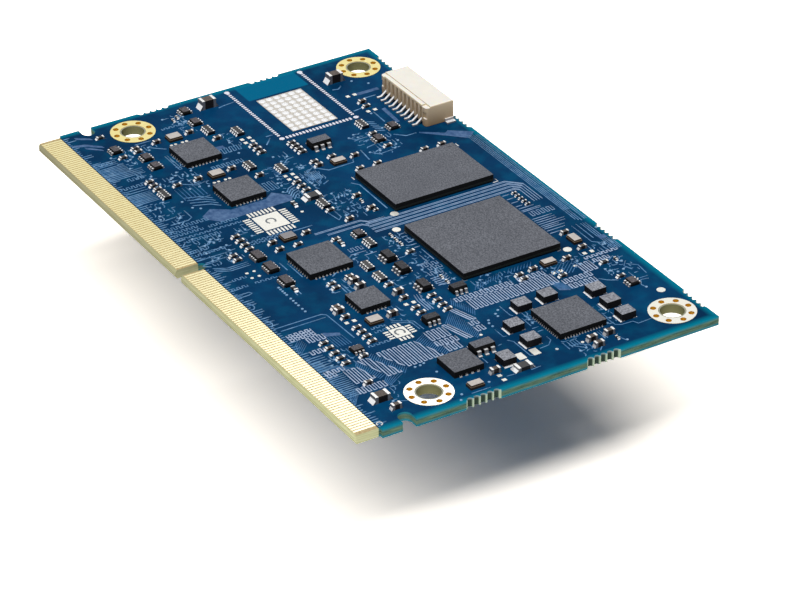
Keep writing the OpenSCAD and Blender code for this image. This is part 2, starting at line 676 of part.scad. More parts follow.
module no_lead_terminals() color([0.75, 0.76, 0.78]) {
    for (c = [LEFT_CHIP, RIGHT_CHIP, BRIDGE_CHIP, CONTROLLER_CHIP]) flat_terminals_of(c, ALL_SIDES);
    flat_terminals_of(POWER_SWITCH, TWO_SIDES);
}

module power_manager_terminals() color([0.75, 0.76, 0.78]) flat_terminals_of(POWER_MANAGER, ALL_SIDES);

module no_lead_solder() color([0.85, 0.86, 0.88]) {
    for (c = [LEFT_CHIP, RIGHT_CHIP, BRIDGE_CHIP, CONTROLLER_CHIP, POWER_MANAGER])
        flat_solder_of(c, ALL_SIDES);
    flat_solder_of(POWER_SWITCH, TWO_SIDES);
}

// SIX-LEAD PACKAGES
// The walls of a moulded body lean in above and below an upright band, which the leads come out of.
module draft_profile(w, h) {
    mid = (h + package_lift) / 2;
    lo = mid - lead_t / 2;
    hi = mid + lead_t / 2;
    polygon([
        [-w / 2, lo], [-w / 2 + draft, package_lift], [w / 2 - draft, package_lift], [w / 2, lo],
        [w / 2, hi], [w / 2 - draft, h], [-w / 2 + draft, h], [-w / 2, hi]]);
}

module moulded_body(l, w, h) difference() {
    intersection() {
        run_x(l) draft_profile(w, h);
        rotate(90) run_x(w) draft_profile(l, h);
    }
    mark_dot(tiny_dot_inset - l / 2, tiny_dot_inset - w / 2, h - dot_d, tiny_dot_r);
}

module gull_leads(w, h, span, pitch, n) {
    mid = (h + package_lift) / 2;
    lo = mid - lead_t / 2;
    hi = mid + lead_t / 2;
    knee = w / 2 + (span - w) * knee_share;
    both_ends() for (i = [0 : n - 1]) translate([(i - (n - 1) / 2) * pitch, 0, 0])
        run_x(pitch * lead_fill) polygon([
            [w / 2, lo], [knee, lo], [knee + lead_lean, 0], [span / 2, 0], [span / 2, lead_t],
            [knee + lead_lean + lead_t, lead_t], [knee + lead_t, hi], [w / 2, hi]]);
}

module slim_chips() color([0.22, 0.22, 0.23]) on_top() at(SLIM) moulded_body(slim_l, slim_w, slim_h);
module slim_chip_leads() color([0.8, 0.8, 0.82]) on_top() at(SLIM)
    gull_leads(slim_w, slim_h, slim_span, slim_pitch, 3);
module medium_chips() color([0.22, 0.22, 0.23]) on_top() at(MEDIUM)
    moulded_body(medium_l, medium_w, medium_h);
module medium_chip_leads() color([0.8, 0.8, 0.82]) on_top() at(MEDIUM)
    gull_leads(medium_w, medium_h, medium_span, medium_pitch, 3);
module large_chips() color([0.22, 0.22, 0.23]) on_top() at(LARGE) moulded_body(large_l, large_w, large_h);
module large_chip_leads() color([0.8, 0.8, 0.82]) on_top() at(LARGE)
    gull_leads(large_w, large_h, large_span, large_pitch, 3);
module protection_arrays() color([0.24, 0.23, 0.23]) on_top() at(ARRAYS)
    moulded_body(array_l, array_w, array_h);
module protection_array_leads() color([0.8, 0.8, 0.82]) on_top() at(ARRAYS)
    gull_leads(array_w, array_h, array_span, array_pitch, array_leads);

// WIRE CONNECTOR
module wire_places() for (i = [0 : wire_count - 1])
    translate([(i - (wire_count - 1) / 2) * wire_pitch, 0, 0]) children();

// A rectangle that stands on the X axis, with its two upper corners rounded
module arch(w, h, r) {
    translate([-w / 2, 0]) square([w, h - r]);
    translate([-w / 2 + r, 0]) square([w - 2 * r, h]);
    for (s = [-1, 1]) translate([s * (w / 2 - r), h - r]) circle(r = r, $fn = round_fn);
}

// The housing's outside: its plan cut by its two upright sections
module wire_housing_block() translate([0, wire_y, wire_lift]) intersection() {
    mirror([0, 1, 0]) linear_extrude(wire_h - wire_lift) arch(wire_x, wire_y, wire_corner_r);
    rotate([90, 0, 0]) linear_extrude(wire_y) arch(wire_x, wire_h - wire_lift, wire_edge_r);
    translate([0, -wire_y / 2, 0]) run_x(wire_x) arch(wire_y, wire_h - wire_lift, wire_edge_r);
}

module wire_connector_housing() color([0.9, 0.87, 0.78]) on_top() translate([WIRE[0], WIRE[1], 0])
difference() {
    wire_housing_block();
    // mouth towards the back edge
    translate([-wire_x / 2 + cavity_end, wire_back, cavity_z0])
        cube([wire_x - 2 * cavity_end, wire_y, cavity_h]);
    // polarising slots in the bottom wall
    for (s = [-1, 1]) translate([s * (wire_x / 2 - slot_inset) - slot_w / 2, wire_y - slot_l, 0])
        cube([slot_w, 2 * slot_l, cavity_z0 + eps]);
    // grooves down the back wall, one for each contact
    wire_places() translate([-groove_w / 2, -past, 0]) cube([groove_w, past + groove_d, groove_top]);
    // room below the back wall for the bends
    translate([-wire_row / 2 - undercut_end, -past, 0])
        cube([wire_row + 2 * undercut_end, past + groove_d, undercut_h]);
    // passages of the contacts through the back wall
    wire_places() translate([-wire_contact_w / 2, -past, blade_z])
        cube([wire_contact_w, wire_back + 2 * past, wire_contact_t]);
    // line along the top
    translate([-wire_x / 2 + end_step_x, line_y, wire_h - line_d])
        cube([wire_x - 2 * end_step_x, line_w, past]);
    for (s = [0, 1]) mirror([s, 0, 0]) {
        // step at the end of the top edge
        translate([wire_x / 2 - end_step_x, -past, wire_h - end_step_z])
            cube([end_step_x + past, past + end_step_y, end_step_z + past]);
        // pocket in the corner
        translate([wire_x / 2 - end_pocket_x, -past, end_pocket_z])
            cube([end_pocket_x + past, past + end_pocket_y, end_pocket_h]);
    }
}

// Blade, pass through the back wall, slanted bend and foot in one strip
module wire_connector_contacts() color([0.82, 0.82, 0.84]) on_top() translate([WIRE[0], WIRE[1], 0])
    wire_places() run_x(wire_contact_w) polygon([
        [-wire_foot, 0], [-wire_foot + foot_l + wire_contact_t / 2, 0],
        [groove_d, blade_z], [wire_back + blade_l, blade_z],
        [wire_back + blade_l, blade_z + wire_contact_t],
        [groove_d - wire_contact_t, blade_z + wire_contact_t],
        [-wire_foot + foot_l, wire_contact_t], [-wire_foot, wire_contact_t]]);

module wire_connector_anchors() color([0.85, 0.85, 0.87]) on_top() translate([WIRE[0], WIRE[1] + anchor_y, 0])
    both_ends() rotate(90) run_x(anchor_w) translate([-wire_x / 2, 0]) polygon([
        [0, 0], [-anchor_foot, 0], [-anchor_foot, anchor_t], [-anchor_t, anchor_t],
        [-anchor_t, anchor_h], [0, anchor_h]]);

// CRYSTALS
module crystal_base(w) block(w, crystal_l, crystal_base_h);
module crystal_lid(w) translate([0, 0, crystal_base_h])
    block(w - 2 * crystal_rim, crystal_l - 2 * crystal_rim, crystal_lid_h);

module crystal_bases() color([0.2, 0.19, 0.18]) on_top() {
    at(CRYSTALS) crystal_base(crystal_w);
    at(SLIM_CRYSTALS) crystal_base(slim_crystal_w);
}

module crystal_lids() color([0.83, 0.8, 0.76]) on_top() {
    at(CRYSTALS) crystal_lid(crystal_w);
    at(SLIM_CRYSTALS) crystal_lid(slim_crystal_w);
}

// INDUCTORS
module inductor_cores() color([0.45, 0.44, 0.46]) on_top() at(INDUCTORS) difference() {
    translate([0, 0, copper_t]) block(inductor_w, inductor_l, inductor_h - copper_t);
    both_ends() translate([-inductor_w, inductor_l / 2 - inductor_end, -1])
        cube([2 * inductor_w, inductor_end + 1, 1 + inductor_end_h]);
}

module inductor_terminals() color([0.8, 0.8, 0.82]) on_top() at(INDUCTORS) both_ends()
    translate([-inductor_w / 2, inductor_l / 2 - inductor_end, 0])
        cube([inductor_w, inductor_end + body_relief, inductor_end_h]);

// CHIP PARTS
module chip_middle(l, w, h, end)
    translate([0, 0, body_relief]) block(w - 2 * body_relief, l - 2 * end, h - 2 * body_relief);
module chip_ends(l, w, h, end) both_ends()
    translate([-w / 2, l / 2 - end, 0]) cube([w, end, h]);
module chip_solder(l, w, h, reach) both_ends() solder_wedge(l / 2, w, reach, h * solder_climb);

module large_capacitors() color([0.42, 0.36, 0.33]) on_top() {
    at(LARGE_CAPS) chip_middle(large_cap_l, large_cap_w, large_cap_h, large_end);
    at(TALL_CAPS) chip_middle(large_cap_l, large_cap_w, tall_cap_h, large_end);
}
module large_capacitor_ends() color([0.85, 0.86, 0.88]) on_top() {
    at(LARGE_CAPS) chip_ends(large_cap_l, large_cap_w, large_cap_h, large_end);
    at(TALL_CAPS) chip_ends(large_cap_l, large_cap_w, tall_cap_h, large_end);
}
module medium_capacitors() color([0.6, 0.5, 0.43]) on_top() at(MEDIUM_CAPS)
    chip_middle(medium_cap_l, medium_cap_w, medium_cap_h, medium_end);
module medium_capacitor_ends() color([0.85, 0.86, 0.88]) on_top() at(MEDIUM_CAPS)
    chip_ends(medium_cap_l, medium_cap_w, medium_cap_h, medium_end);
module small_capacitors() color([0.6, 0.5, 0.43]) on_top() at(SMALL_CAPS)
    chip_middle(small_l, small_w, small_cap_h, small_end);
module small_capacitor_ends() color([0.85, 0.86, 0.88]) on_top() at(SMALL_CAPS)
    chip_ends(small_l, small_w, small_cap_h, small_end);

module coat(l, w, h, end) translate([0, 0, h - coat_t - body_relief])
    block(w - 2 * body_relief, l - 2 * end, coat_t);

module resistors() color([0.85, 0.85, 0.84]) on_top() {
    at(LARGE_RESISTORS) chip_middle(large_cap_l, large_cap_w, large_resistor_h - coat_t, large_end);
    at(RESISTORS) chip_middle(small_l, small_w, resistor_h - coat_t, small_end);
    at(TINY_RESISTORS) chip_middle(tiny_l, tiny_w, tiny_h - coat_t, tiny_end);
}
module resistor_coats() color([0.08, 0.08, 0.09]) on_top() {
    at(LARGE_RESISTORS) coat(large_cap_l, large_cap_w, large_resistor_h, large_end);
    at(RESISTORS) coat(small_l, small_w, resistor_h, small_end);
    at(TINY_RESISTORS) coat(tiny_l, tiny_w, tiny_h, tiny_end);
}
module resistor_ends() color([0.85, 0.86, 0.88]) on_top() {
    at(LARGE_RESISTORS) chip_ends(large_cap_l, large_cap_w, large_resistor_h, large_end);
    at(RESISTORS) chip_ends(small_l, small_w, resistor_h, small_end);
    at(TINY_RESISTORS) chip_ends(tiny_l, tiny_w, tiny_h, tiny_end);
}

module network_terminals(grow) both_ends() for (i = [-1.5 : 1 : 1.5])
    translate([(i - network_fill / 2) * network_pitch, network_w / 2 - network_end, -grow])
        cube([network_pitch * network_fill, network_end + grow, network_h + 2 * grow]);
module resistor_networks() color([0.1, 0.1, 0.11]) on_top() at(NETWORKS) difference() {
    block(network_l, network_w, network_h);
    network_terminals(eps);
}
module resistor_network_ends() color([0.85, 0.86, 0.88]) on_top() at(NETWORKS) network_terminals(0);

module network_solder() both_ends() for (i = [-1.5 : 1 : 1.5]) translate([i * network_pitch, 0, 0])
    solder_wedge(network_w / 2, network_pitch * network_fill, solder_reach, network_h * solder_climb);

module chip_part_solder() color([0.88, 0.89, 0.9]) on_top() {
    at(LARGE_CAPS) chip_solder(large_cap_l, large_cap_w, large_cap_h, large_solder_reach);
    at(TALL_CAPS) chip_solder(large_cap_l, large_cap_w, tall_cap_h, large_solder_reach);
    at(LARGE_RESISTORS) chip_solder(large_cap_l, large_cap_w, large_resistor_h, large_solder_reach);
    at(MEDIUM_CAPS) chip_solder(medium_cap_l, medium_cap_w, medium_cap_h, solder_reach);
    at(SMALL_CAPS) chip_solder(small_l, small_w, small_cap_h, solder_reach);
    at(RESISTORS) chip_solder(small_l, small_w, resistor_h, solder_reach);
    at(TINY_RESISTORS) chip_solder(tiny_l, tiny_w, tiny_h, solder_reach / 2);
    at(NETWORKS) network_solder();
    at(INDUCTORS) chip_solder(inductor_l + 2 * body_relief, inductor_w, inductor_end_h, solder_reach);
}

// BARE PADS
module quad_pads(q) {
    block(q[2], q[2], copper_t);
    for (a = ALL_SIDES) rotate(a) for (i = [0 : q[3] - 1])
        translate([(i - (q[3] - 1) / 2) * quad_pad_pitch, q[4], 0]) block(quad_pad_w, q[5], copper_t);
}

module open_quad_pads() color([0.93, 0.92, 0.87]) on_top()
    for (q = OPEN_QUADS) translate([q[0], q[1], 0]) quad_pads(q);

module open_module_pads() color([0.88, 0.88, 0.9]) on_top() {
    for (y = [module_y0, module_y1]) {
        for (i = [1 : module_nx - 1]) translate([module_x0 + (i + 0.5) * module_pad_pitch, y, 0])
            block(module_pad_w, module_row_pad_l, copper_t);
        for (x = [module_x0 + module_pad_w, module_x1]) translate([x, y, 0])
            cylinder(r = module_corner_r, h = copper_t, $fn = 24);
    }
    for (j = [1 : module_ny - 1]) translate([module_x1, module_y0 + (j + 0.5) * module_pad_pitch, 0])
        block(module_column_pad_l, module_pad_w, copper_t);
}

module open_module_ground_pad() color([0.9, 0.85, 0.72]) on_top()
    translate([ground_x0, ground_y0, 0]) cube([ground_x1 - ground_x0, ground_y1 - ground_y0, copper_t]);

module open_module_bumps() color([0.93, 0.93, 0.94]) on_top()
    for (i = [0 : bump_nx - 1]) for (j = [0 : bump_ny - 1])
        translate([
            ground_x0 + (ground_x1 - ground_x0) * (i + 0.5) / bump_nx,
            ground_y0 + (ground_y1 - ground_y0) * (j + 0.5) / bump_ny,
            copper_t]) cylinder(r1 = bump_r, r2 = bump_top_r, h = bump_h, $fn = 20);

module pad_pair(w, l, step) both_ends() translate([0, step / 2, 0]) block(w, l, copper_t);
module open_chip_pads() color([0.9, 0.9, 0.91]) on_top() {
    at(OPEN_CHIPS) pad_pair(chip_pad_w, chip_pad_l, chip_pad_step);
    translate([OPEN_LARGE_CHIP[0], OPEN_LARGE_CHIP[1], 0]) pad_pair(large_pad_w, large_pad_l, large_pad_step);
}

module test_pads() color([0.9, 0.9, 0.88]) on_top() for (p = TEST_PADS) translate([p[0], p[1], 0])
    cylinder(r = test_pad_r, h = copper_t, $fn = 20);

module fiducials() color([0.95, 0.94, 0.88]) on_top() for (p = FIDUCIALS) translate([p[0], p[1], 0])
    cylinder(r = fiducial_r, h = copper_t, $fn = 32);

// UNDERSIDE
module under_board() translate([0, 0, board_z0]) mirror([0, 0, 1]) children();
module underside_capacitors() color([0.6, 0.5, 0.43]) under_board() at(UNDER_CAPS)
    block(small_w, small_l - 2 * small_end, small_cap_h);
module underside_capacitor_ends() color([0.85, 0.86, 0.88]) under_board() at(UNDER_CAPS)
    chip_ends(small_l, small_w, small_cap_h, small_end);

circuit_board();
top_edge_contacts();
underside_edge_contacts();
hole_platings();
processor_balls();
processor_substrate();
processor_moulding();
memory_balls();
memory_substrate();
memory_moulding();
left_interface_chip();
right_interface_chip();
bridge_chip();
controller_chip();
power_manager();
power_switch();
no_lead_terminals();
power_manager_terminals();
no_lead_solder();
slim_chips();
slim_chip_leads();
medium_chips();
medium_chip_leads();
large_chips();
large_chip_leads();
protection_arrays();
protection_array_leads();
wire_connector_housing();
wire_connector_contacts();
wire_connector_anchors();
crystal_bases();
crystal_lids();
inductor_cores();
inductor_terminals();
large_capacitors();
large_capacitor_ends();
medium_capacitors();
medium_capacitor_ends();
small_capacitors();
small_capacitor_ends();
resistors();
resistor_coats();
resistor_ends();
resistor_networks();
resistor_network_ends();
chip_part_solder();
open_quad_pads();
open_module_pads();
open_module_ground_pad();
open_module_bumps();
open_chip_pads();
test_pads();
fiducials();
underside_capacitors();
underside_capacitor_ends();
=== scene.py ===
"""Looks of the system on module: finishes, printed copper, vias, print marks, light and camera."""

import json
import math
import random

import bpy
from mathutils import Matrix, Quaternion, Vector

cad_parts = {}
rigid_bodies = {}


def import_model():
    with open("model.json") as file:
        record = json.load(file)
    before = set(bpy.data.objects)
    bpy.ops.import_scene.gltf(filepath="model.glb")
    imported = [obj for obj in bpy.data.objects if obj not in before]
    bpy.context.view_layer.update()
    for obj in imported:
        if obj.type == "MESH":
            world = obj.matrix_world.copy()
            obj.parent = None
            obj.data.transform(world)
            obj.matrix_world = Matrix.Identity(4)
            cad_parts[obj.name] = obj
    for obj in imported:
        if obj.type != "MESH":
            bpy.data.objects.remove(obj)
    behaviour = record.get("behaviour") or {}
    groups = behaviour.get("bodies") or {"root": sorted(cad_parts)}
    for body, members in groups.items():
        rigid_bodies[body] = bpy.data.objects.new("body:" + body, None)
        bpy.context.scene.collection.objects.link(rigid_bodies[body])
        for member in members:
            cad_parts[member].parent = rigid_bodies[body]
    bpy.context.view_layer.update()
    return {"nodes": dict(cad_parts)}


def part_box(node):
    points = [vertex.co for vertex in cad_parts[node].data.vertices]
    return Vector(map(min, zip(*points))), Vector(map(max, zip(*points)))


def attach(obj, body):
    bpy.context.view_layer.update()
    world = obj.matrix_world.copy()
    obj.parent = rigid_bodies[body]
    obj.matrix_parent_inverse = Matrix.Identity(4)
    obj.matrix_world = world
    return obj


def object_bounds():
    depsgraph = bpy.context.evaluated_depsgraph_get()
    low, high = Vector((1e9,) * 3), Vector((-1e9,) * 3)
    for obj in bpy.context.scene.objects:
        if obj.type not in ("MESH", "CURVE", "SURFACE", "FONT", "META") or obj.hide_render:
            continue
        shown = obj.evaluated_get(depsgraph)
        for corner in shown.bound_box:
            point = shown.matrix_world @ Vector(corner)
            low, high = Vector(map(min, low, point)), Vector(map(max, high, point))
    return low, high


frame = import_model()
nodes = frame["nodes"]
for thing in bpy.context.scene.objects:
    thing.select_set(False)

MM = 0.001
BOARD_LOW, BOARD_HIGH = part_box("circuit_board")
TOP = BOARD_HIGH.z
UNDER = BOARD_LOW.z
HALF_X = BOARD_HIGH.x / MM
HALF_Y = BOARD_HIGH.y / MM
BOARD_T = (TOP - UNDER) / MM
CONTACT_LOW, CONTACT_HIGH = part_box("top_edge_contacts")

# Camera, read off the photograph with the holes and the contact pitch as the known sizes
CAMERA_AT = Vector((345.057, -199.034, 231.569)) * MM
CAMERA_AIM = Vector((17.672, -5.293, 1.7)) * MM
CAMERA_ROLL = -0.691
CAMERA_LENS = 166.56

# Floor and sky
FLOOR_DROP = 20.0 * MM
FLOOR_SIZE = 6.0
FLOOR_COLOUR = 0.93
FLOOR_TO_CAMERA = (2.06, 1.94, 1.77)
SKY_FILL = 0.11

# Key lamp, a long panel whose shadow is crisp beyond the board's right end and soft along its front.
# Together with the sky's fill it lights a level face as a white sky of strength 1 would.
KEY_WATTS = 988 * (1 - SKY_FILL)
KEY_FAR = 8.0
KEY_LENGTH = 11.94
KEY_WIDTH = 2.59
KEY_ON = Vector((10, 0, 1.7)) * MM
KEY_ROLL = math.radians(36.5)
KEY_TURN = math.radians(318.6)
KEY_HEIGHT = math.radians(59.8)
KEY_FROM = Vector((math.cos(KEY_HEIGHT) * math.cos(KEY_TURN), math.cos(KEY_HEIGHT) * math.sin(KEY_TURN),
                   math.sin(KEY_HEIGHT)))

# Small lamp that glares on the last contacts at the right
GLARE_ON = Vector((38, -21, 1.7)) * MM
GLARE_WAY = Vector((-0.726, 0.423, 0.543))
GLARE_FAR = 0.25
GLARE_SIZE = 0.05
GLARE_WATTS = 0.012


# Node helpers
def start(name, rough=0.5, metal=0.0, specular=0.5):
    """A new material with a Principled shader, and its coordinates in millimetres."""
    made = bpy.data.materials.new(name)
    made.use_nodes = True
    tree = made.node_tree
    tree.nodes.clear()
    out = tree.nodes.new("ShaderNodeOutputMaterial")
    shader = tree.nodes.new("ShaderNodeBsdfPrincipled")
    tree.links.new(shader.outputs[0], out.inputs["Surface"])
    shader.inputs["Roughness"].default_value = rough
    shader.inputs["Metallic"].default_value = metal
    shader.inputs["Specular IOR Level"].default_value = specular
    coords = tree.nodes.new("ShaderNodeTexCoord")
    scaled = tree.nodes.new("ShaderNodeVectorMath")
    scaled.operation = "SCALE"
    scaled.inputs["Scale"].default_value = 1 / MM
    tree.links.new(coords.outputs["Object"], scaled.inputs[0])
    return made, tree, shader, scaled.outputs[0]


def put(tree, value, socket):
    """Links a socket or sets a plain value."""
    if isinstance(value, bpy.types.NodeSocket):
        tree.links.new(value, socket)
    elif isinstance(value, tuple) and len(value) == 3 and socket.type == "RGBA":
        socket.default_value = (*value, 1)
    else:
        socket.default_value = value


def calc(tree, operation, a, b=0.0):
    """One step of arithmetic."""
    made = tree.nodes.new("ShaderNodeMath")
    made.operation = operation
    for value, socket in zip((a, b), made.inputs):
        put(tree, value, socket)
    return made.outputs[0]


def noise(tree, place, scale, detail=2.0, rough=0.5):
    """Clouds from 0 to 1, finer with a greater scale."""
    made = tree.nodes.new("ShaderNodeTexNoise")
    put(tree, place, made.inputs["Vector"])
    made.inputs["Scale"].default_value = scale
    made.inputs["Detail"].default_value = detail
    made.inputs["Roughness"].default_value = rough
    return made.outputs["Fac"]


def spread(tree, value, low, high, to_low=0.0, to_high=1.0):
    """Value mapped from one range to another, held at the ends."""
    made = tree.nodes.new("ShaderNodeMapRange")
    wanted = {"Value": value, "From Min": low, "From Max": high, "To Min": to_low, "To Max": to_high}
    for name, one in wanted.items():
        put(tree, one, made.inputs[name])
    return made.outputs[0]


def blend(tree, share, a, b):
    """Colour a where share is 0, colour b where it is 1."""
    made = tree.nodes.new("ShaderNodeMix")
    made.data_type = "RGBA"
    put(tree, share, made.inputs["Factor"])
    put(tree, a, made.inputs["A"])
    put(tree, b, made.inputs["B"])
    return made.outputs["Result"]


def split(tree, place):
    """The three coordinates of a place."""
    made = tree.nodes.new("ShaderNodeSeparateXYZ")
    put(tree, place, made.inputs[0])
    return made.outputs


def facing_up(tree, low=0.5, high=0.8):
    """1 on faces that look up, 0 on walls and undersides."""
    coords = tree.nodes.new("ShaderNodeTexCoord")
    return spread(tree, split(tree, coords.outputs["Normal"])[2], low, high)


def level_face(tree):
    """1 on level faces, whether they look up or down, 0 on walls."""
    coords = tree.nodes.new("ShaderNodeTexCoord")
    return spread(tree, calc(tree, "ABSOLUTE", split(tree, coords.outputs["Normal"])[2]), 0.5, 0.8)


def bump(tree, shader, height, depth, strength=1.0):
    """Relief of a given depth in millimetres."""
    made = tree.nodes.new("ShaderNodeBump")
    made.inputs["Strength"].default_value = strength
    made.inputs["Distance"].default_value = depth * MM
    put(tree, height, made.inputs["Height"])
    tree.links.new(made.outputs[0], shader.inputs["Normal"])


# Colours of the board: its mask, its laminate and the scars of its broken-off tabs, and a painted shadow
# above the contacts
MASK_DEEP = (0.001, 0.027, 0.080)
MASK_LIGHT = (0.002, 0.046, 0.132)
MASK_EDGE = (0.000, 0.225, 0.335)
MASK_TEAL = (0.000, 0.138, 0.268)
# painted shadow of the mask's edge, a dark band just above the contacts
PAINTED_EDGE_SHADOW = (0.000, 0.008, 0.022)
LAMINATE_PALE = (0.165, 0.255, 0.165)
LAMINATE_DARK = (0.035, 0.080, 0.062)
LAMINATE_CREAM = (0.50, 0.50, 0.25)
LAMINATE_STRAW = (0.70, 0.70, 0.42)
LAMINATE_GREYED = (0.25, 0.22, 0.14)
LAMINATE_BARE = (0.44, 0.32, 0.15)
LAMINATE_WOVEN = (0.60, 0.50, 0.28)
RIM_GREY = (0.36, 0.36, 0.28)
HOLE_OLIVE = (0.20, 0.19, 0.09)
SCAR_CREAM = (0.50, 0.60, 0.44)
SCAR_OLIVE = (0.040, 0.065, 0.050)
SCAR_LIP = (0.45, 0.55, 0.60)

# Places on the board in millimetres; KEEP_OUT and DULL_LID run from x0 to x1 and from y0 to y1
HOLE_X = 37.0
HOLE_MID_Y = 4.0
HOLE_HALF_Y = 17.0
RING_R = 2.6
SCAR_HALF = 2.35
SCAR_SIDE_MID = 0.3
SCAR_SIDE_OUT = 8.3
SCAR_BACK_1 = 17.1
SCAR_BACK_2 = 36.0
SCAR_ZONE = 1.0
SCAR_DEEP = (0.16, 0.34)
SCAR_SKIN = 0.3
SKIN_FROM = 0.42
SKIN_TO = 0.1
RIM_W = 1.05
# width of the painted shadow band above the contacts
EDGE_SHADOW_W = 0.22
LAYER_STRETCH = (0.35, 0.35, 6.0)
# where the painted glare on the gold begins, paling it towards the right end
GLARE_PAINT_FROM_X = -20.0
BARE_TO_Y = CONTACT_HIGH.y / MM
KEEP_OUT = (-HALF_X + 0.5, -36.3, 3.9, 12.9)
DULL_LID = (-4.6, -1.6, -10.8, -7.4)


# Finishes
def inside(tree, value, low, high, soft=0.05):
    """1 where a value lies between two limits, with soft ends."""
    rise = spread(tree, value, low - soft, low + soft)
    fall = spread(tree, value, high - soft, high + soft, 1.0, 0.0)
    return calc(tree, "MULTIPLY", rise, fall)


def near_scars(tree, x, y):
    """1 beside the broken-off tabs on the two ends and the back edge."""
    off_side = calc(tree, "ABSOLUTE", calc(tree, "SUBTRACT", y, SCAR_SIDE_MID))
    side = inside(tree, off_side, SCAR_SIDE_OUT - SCAR_HALF, SCAR_SIDE_OUT + SCAR_HALF)
    across = calc(tree, "ABSOLUTE", x)
    side = calc(tree, "MULTIPLY", side, calc(tree, "GREATER_THAN", across, HALF_X - SCAR_ZONE))
    back = calc(tree, "MAXIMUM", inside(tree, across, SCAR_BACK_1 - SCAR_HALF, SCAR_BACK_1 + SCAR_HALF),
                inside(tree, across, SCAR_BACK_2 - SCAR_HALF, SCAR_BACK_2 + SCAR_HALF))
    back = calc(tree, "MULTIPLY", back, calc(tree, "GREATER_THAN", y, HALF_Y - SCAR_ZONE))
    return calc(tree, "MAXIMUM", side, back)


def hole_distance(tree, x, y):
    """Distance from the axis of the nearest mounting hole."""
    dx = calc(tree, "SUBTRACT", calc(tree, "ABSOLUTE", x), HOLE_X)
    dy = calc(tree, "SUBTRACT", calc(tree, "ABSOLUTE", calc(tree, "SUBTRACT", y, HOLE_MID_Y)), HOLE_HALF_Y)
    squares = calc(tree, "ADD", calc(tree, "MULTIPLY", dx, dx), calc(tree, "MULTIPLY", dy, dy))
    return calc(tree, "SQRT", squares)


def wall_colour(tree, place, x, y, z, nearest, at_hole):
    """Cut edge: green laminate in thin uneven layers between two mask lines, cream at the contacts."""
    stretched = tree.nodes.new("ShaderNodeVectorMath")
    stretched.operation = "MULTIPLY"
    put(tree, place, stretched.inputs[0])
    stretched.inputs[1].default_value = LAYER_STRETCH
    layers = noise(tree, stretched.outputs[0], 1.0, 4.0, 0.65)
    strands = noise(tree, place, 5.0, 3.0, 0.7)
    green = blend(tree, spread(tree, layers, 0.35, 0.65), LAMINATE_DARK, LAMINATE_PALE)
    green = blend(tree, spread(tree, strands, 0.45, 0.75, 0.0, 0.5), green, LAMINATE_PALE)
    height = calc(tree, "SUBTRACT", z, UNDER / MM)
    middle = calc(tree, "ABSOLUTE", calc(tree, "SUBTRACT", height, BOARD_T / 2))
    skin = spread(tree, middle, BOARD_T / 2 - SKIN_FROM, BOARD_T / 2 - SKIN_TO, 0.0, 0.85)
    green = blend(tree, skin, green, MASK_EDGE)
    front = spread(tree, y, BARE_TO_Y, BARE_TO_Y + 0.1, 1.0, 0.0)
    cream = blend(tree, spread(tree, layers, 0.3, 0.7), LAMINATE_CREAM, LAMINATE_STRAW)
    cream = blend(tree, spread(tree, x, -HALF_X, HALF_X, 0.8, 0.0), cream, LAMINATE_GREYED)
    wall = blend(tree, front, green, cream)
    hollow = spread(tree, nearest, *SCAR_DEEP)
    scar = blend(tree, hollow, SCAR_CREAM, SCAR_OLIVE)
    scar = blend(tree, spread(tree, height, BOARD_T - SCAR_SKIN, BOARD_T, 0.0, 0.7), scar, SCAR_LIP)
    wall = blend(tree, near_scars(tree, x, y), wall, scar)
    return blend(tree, at_hole, wall, HOLE_OLIVE)


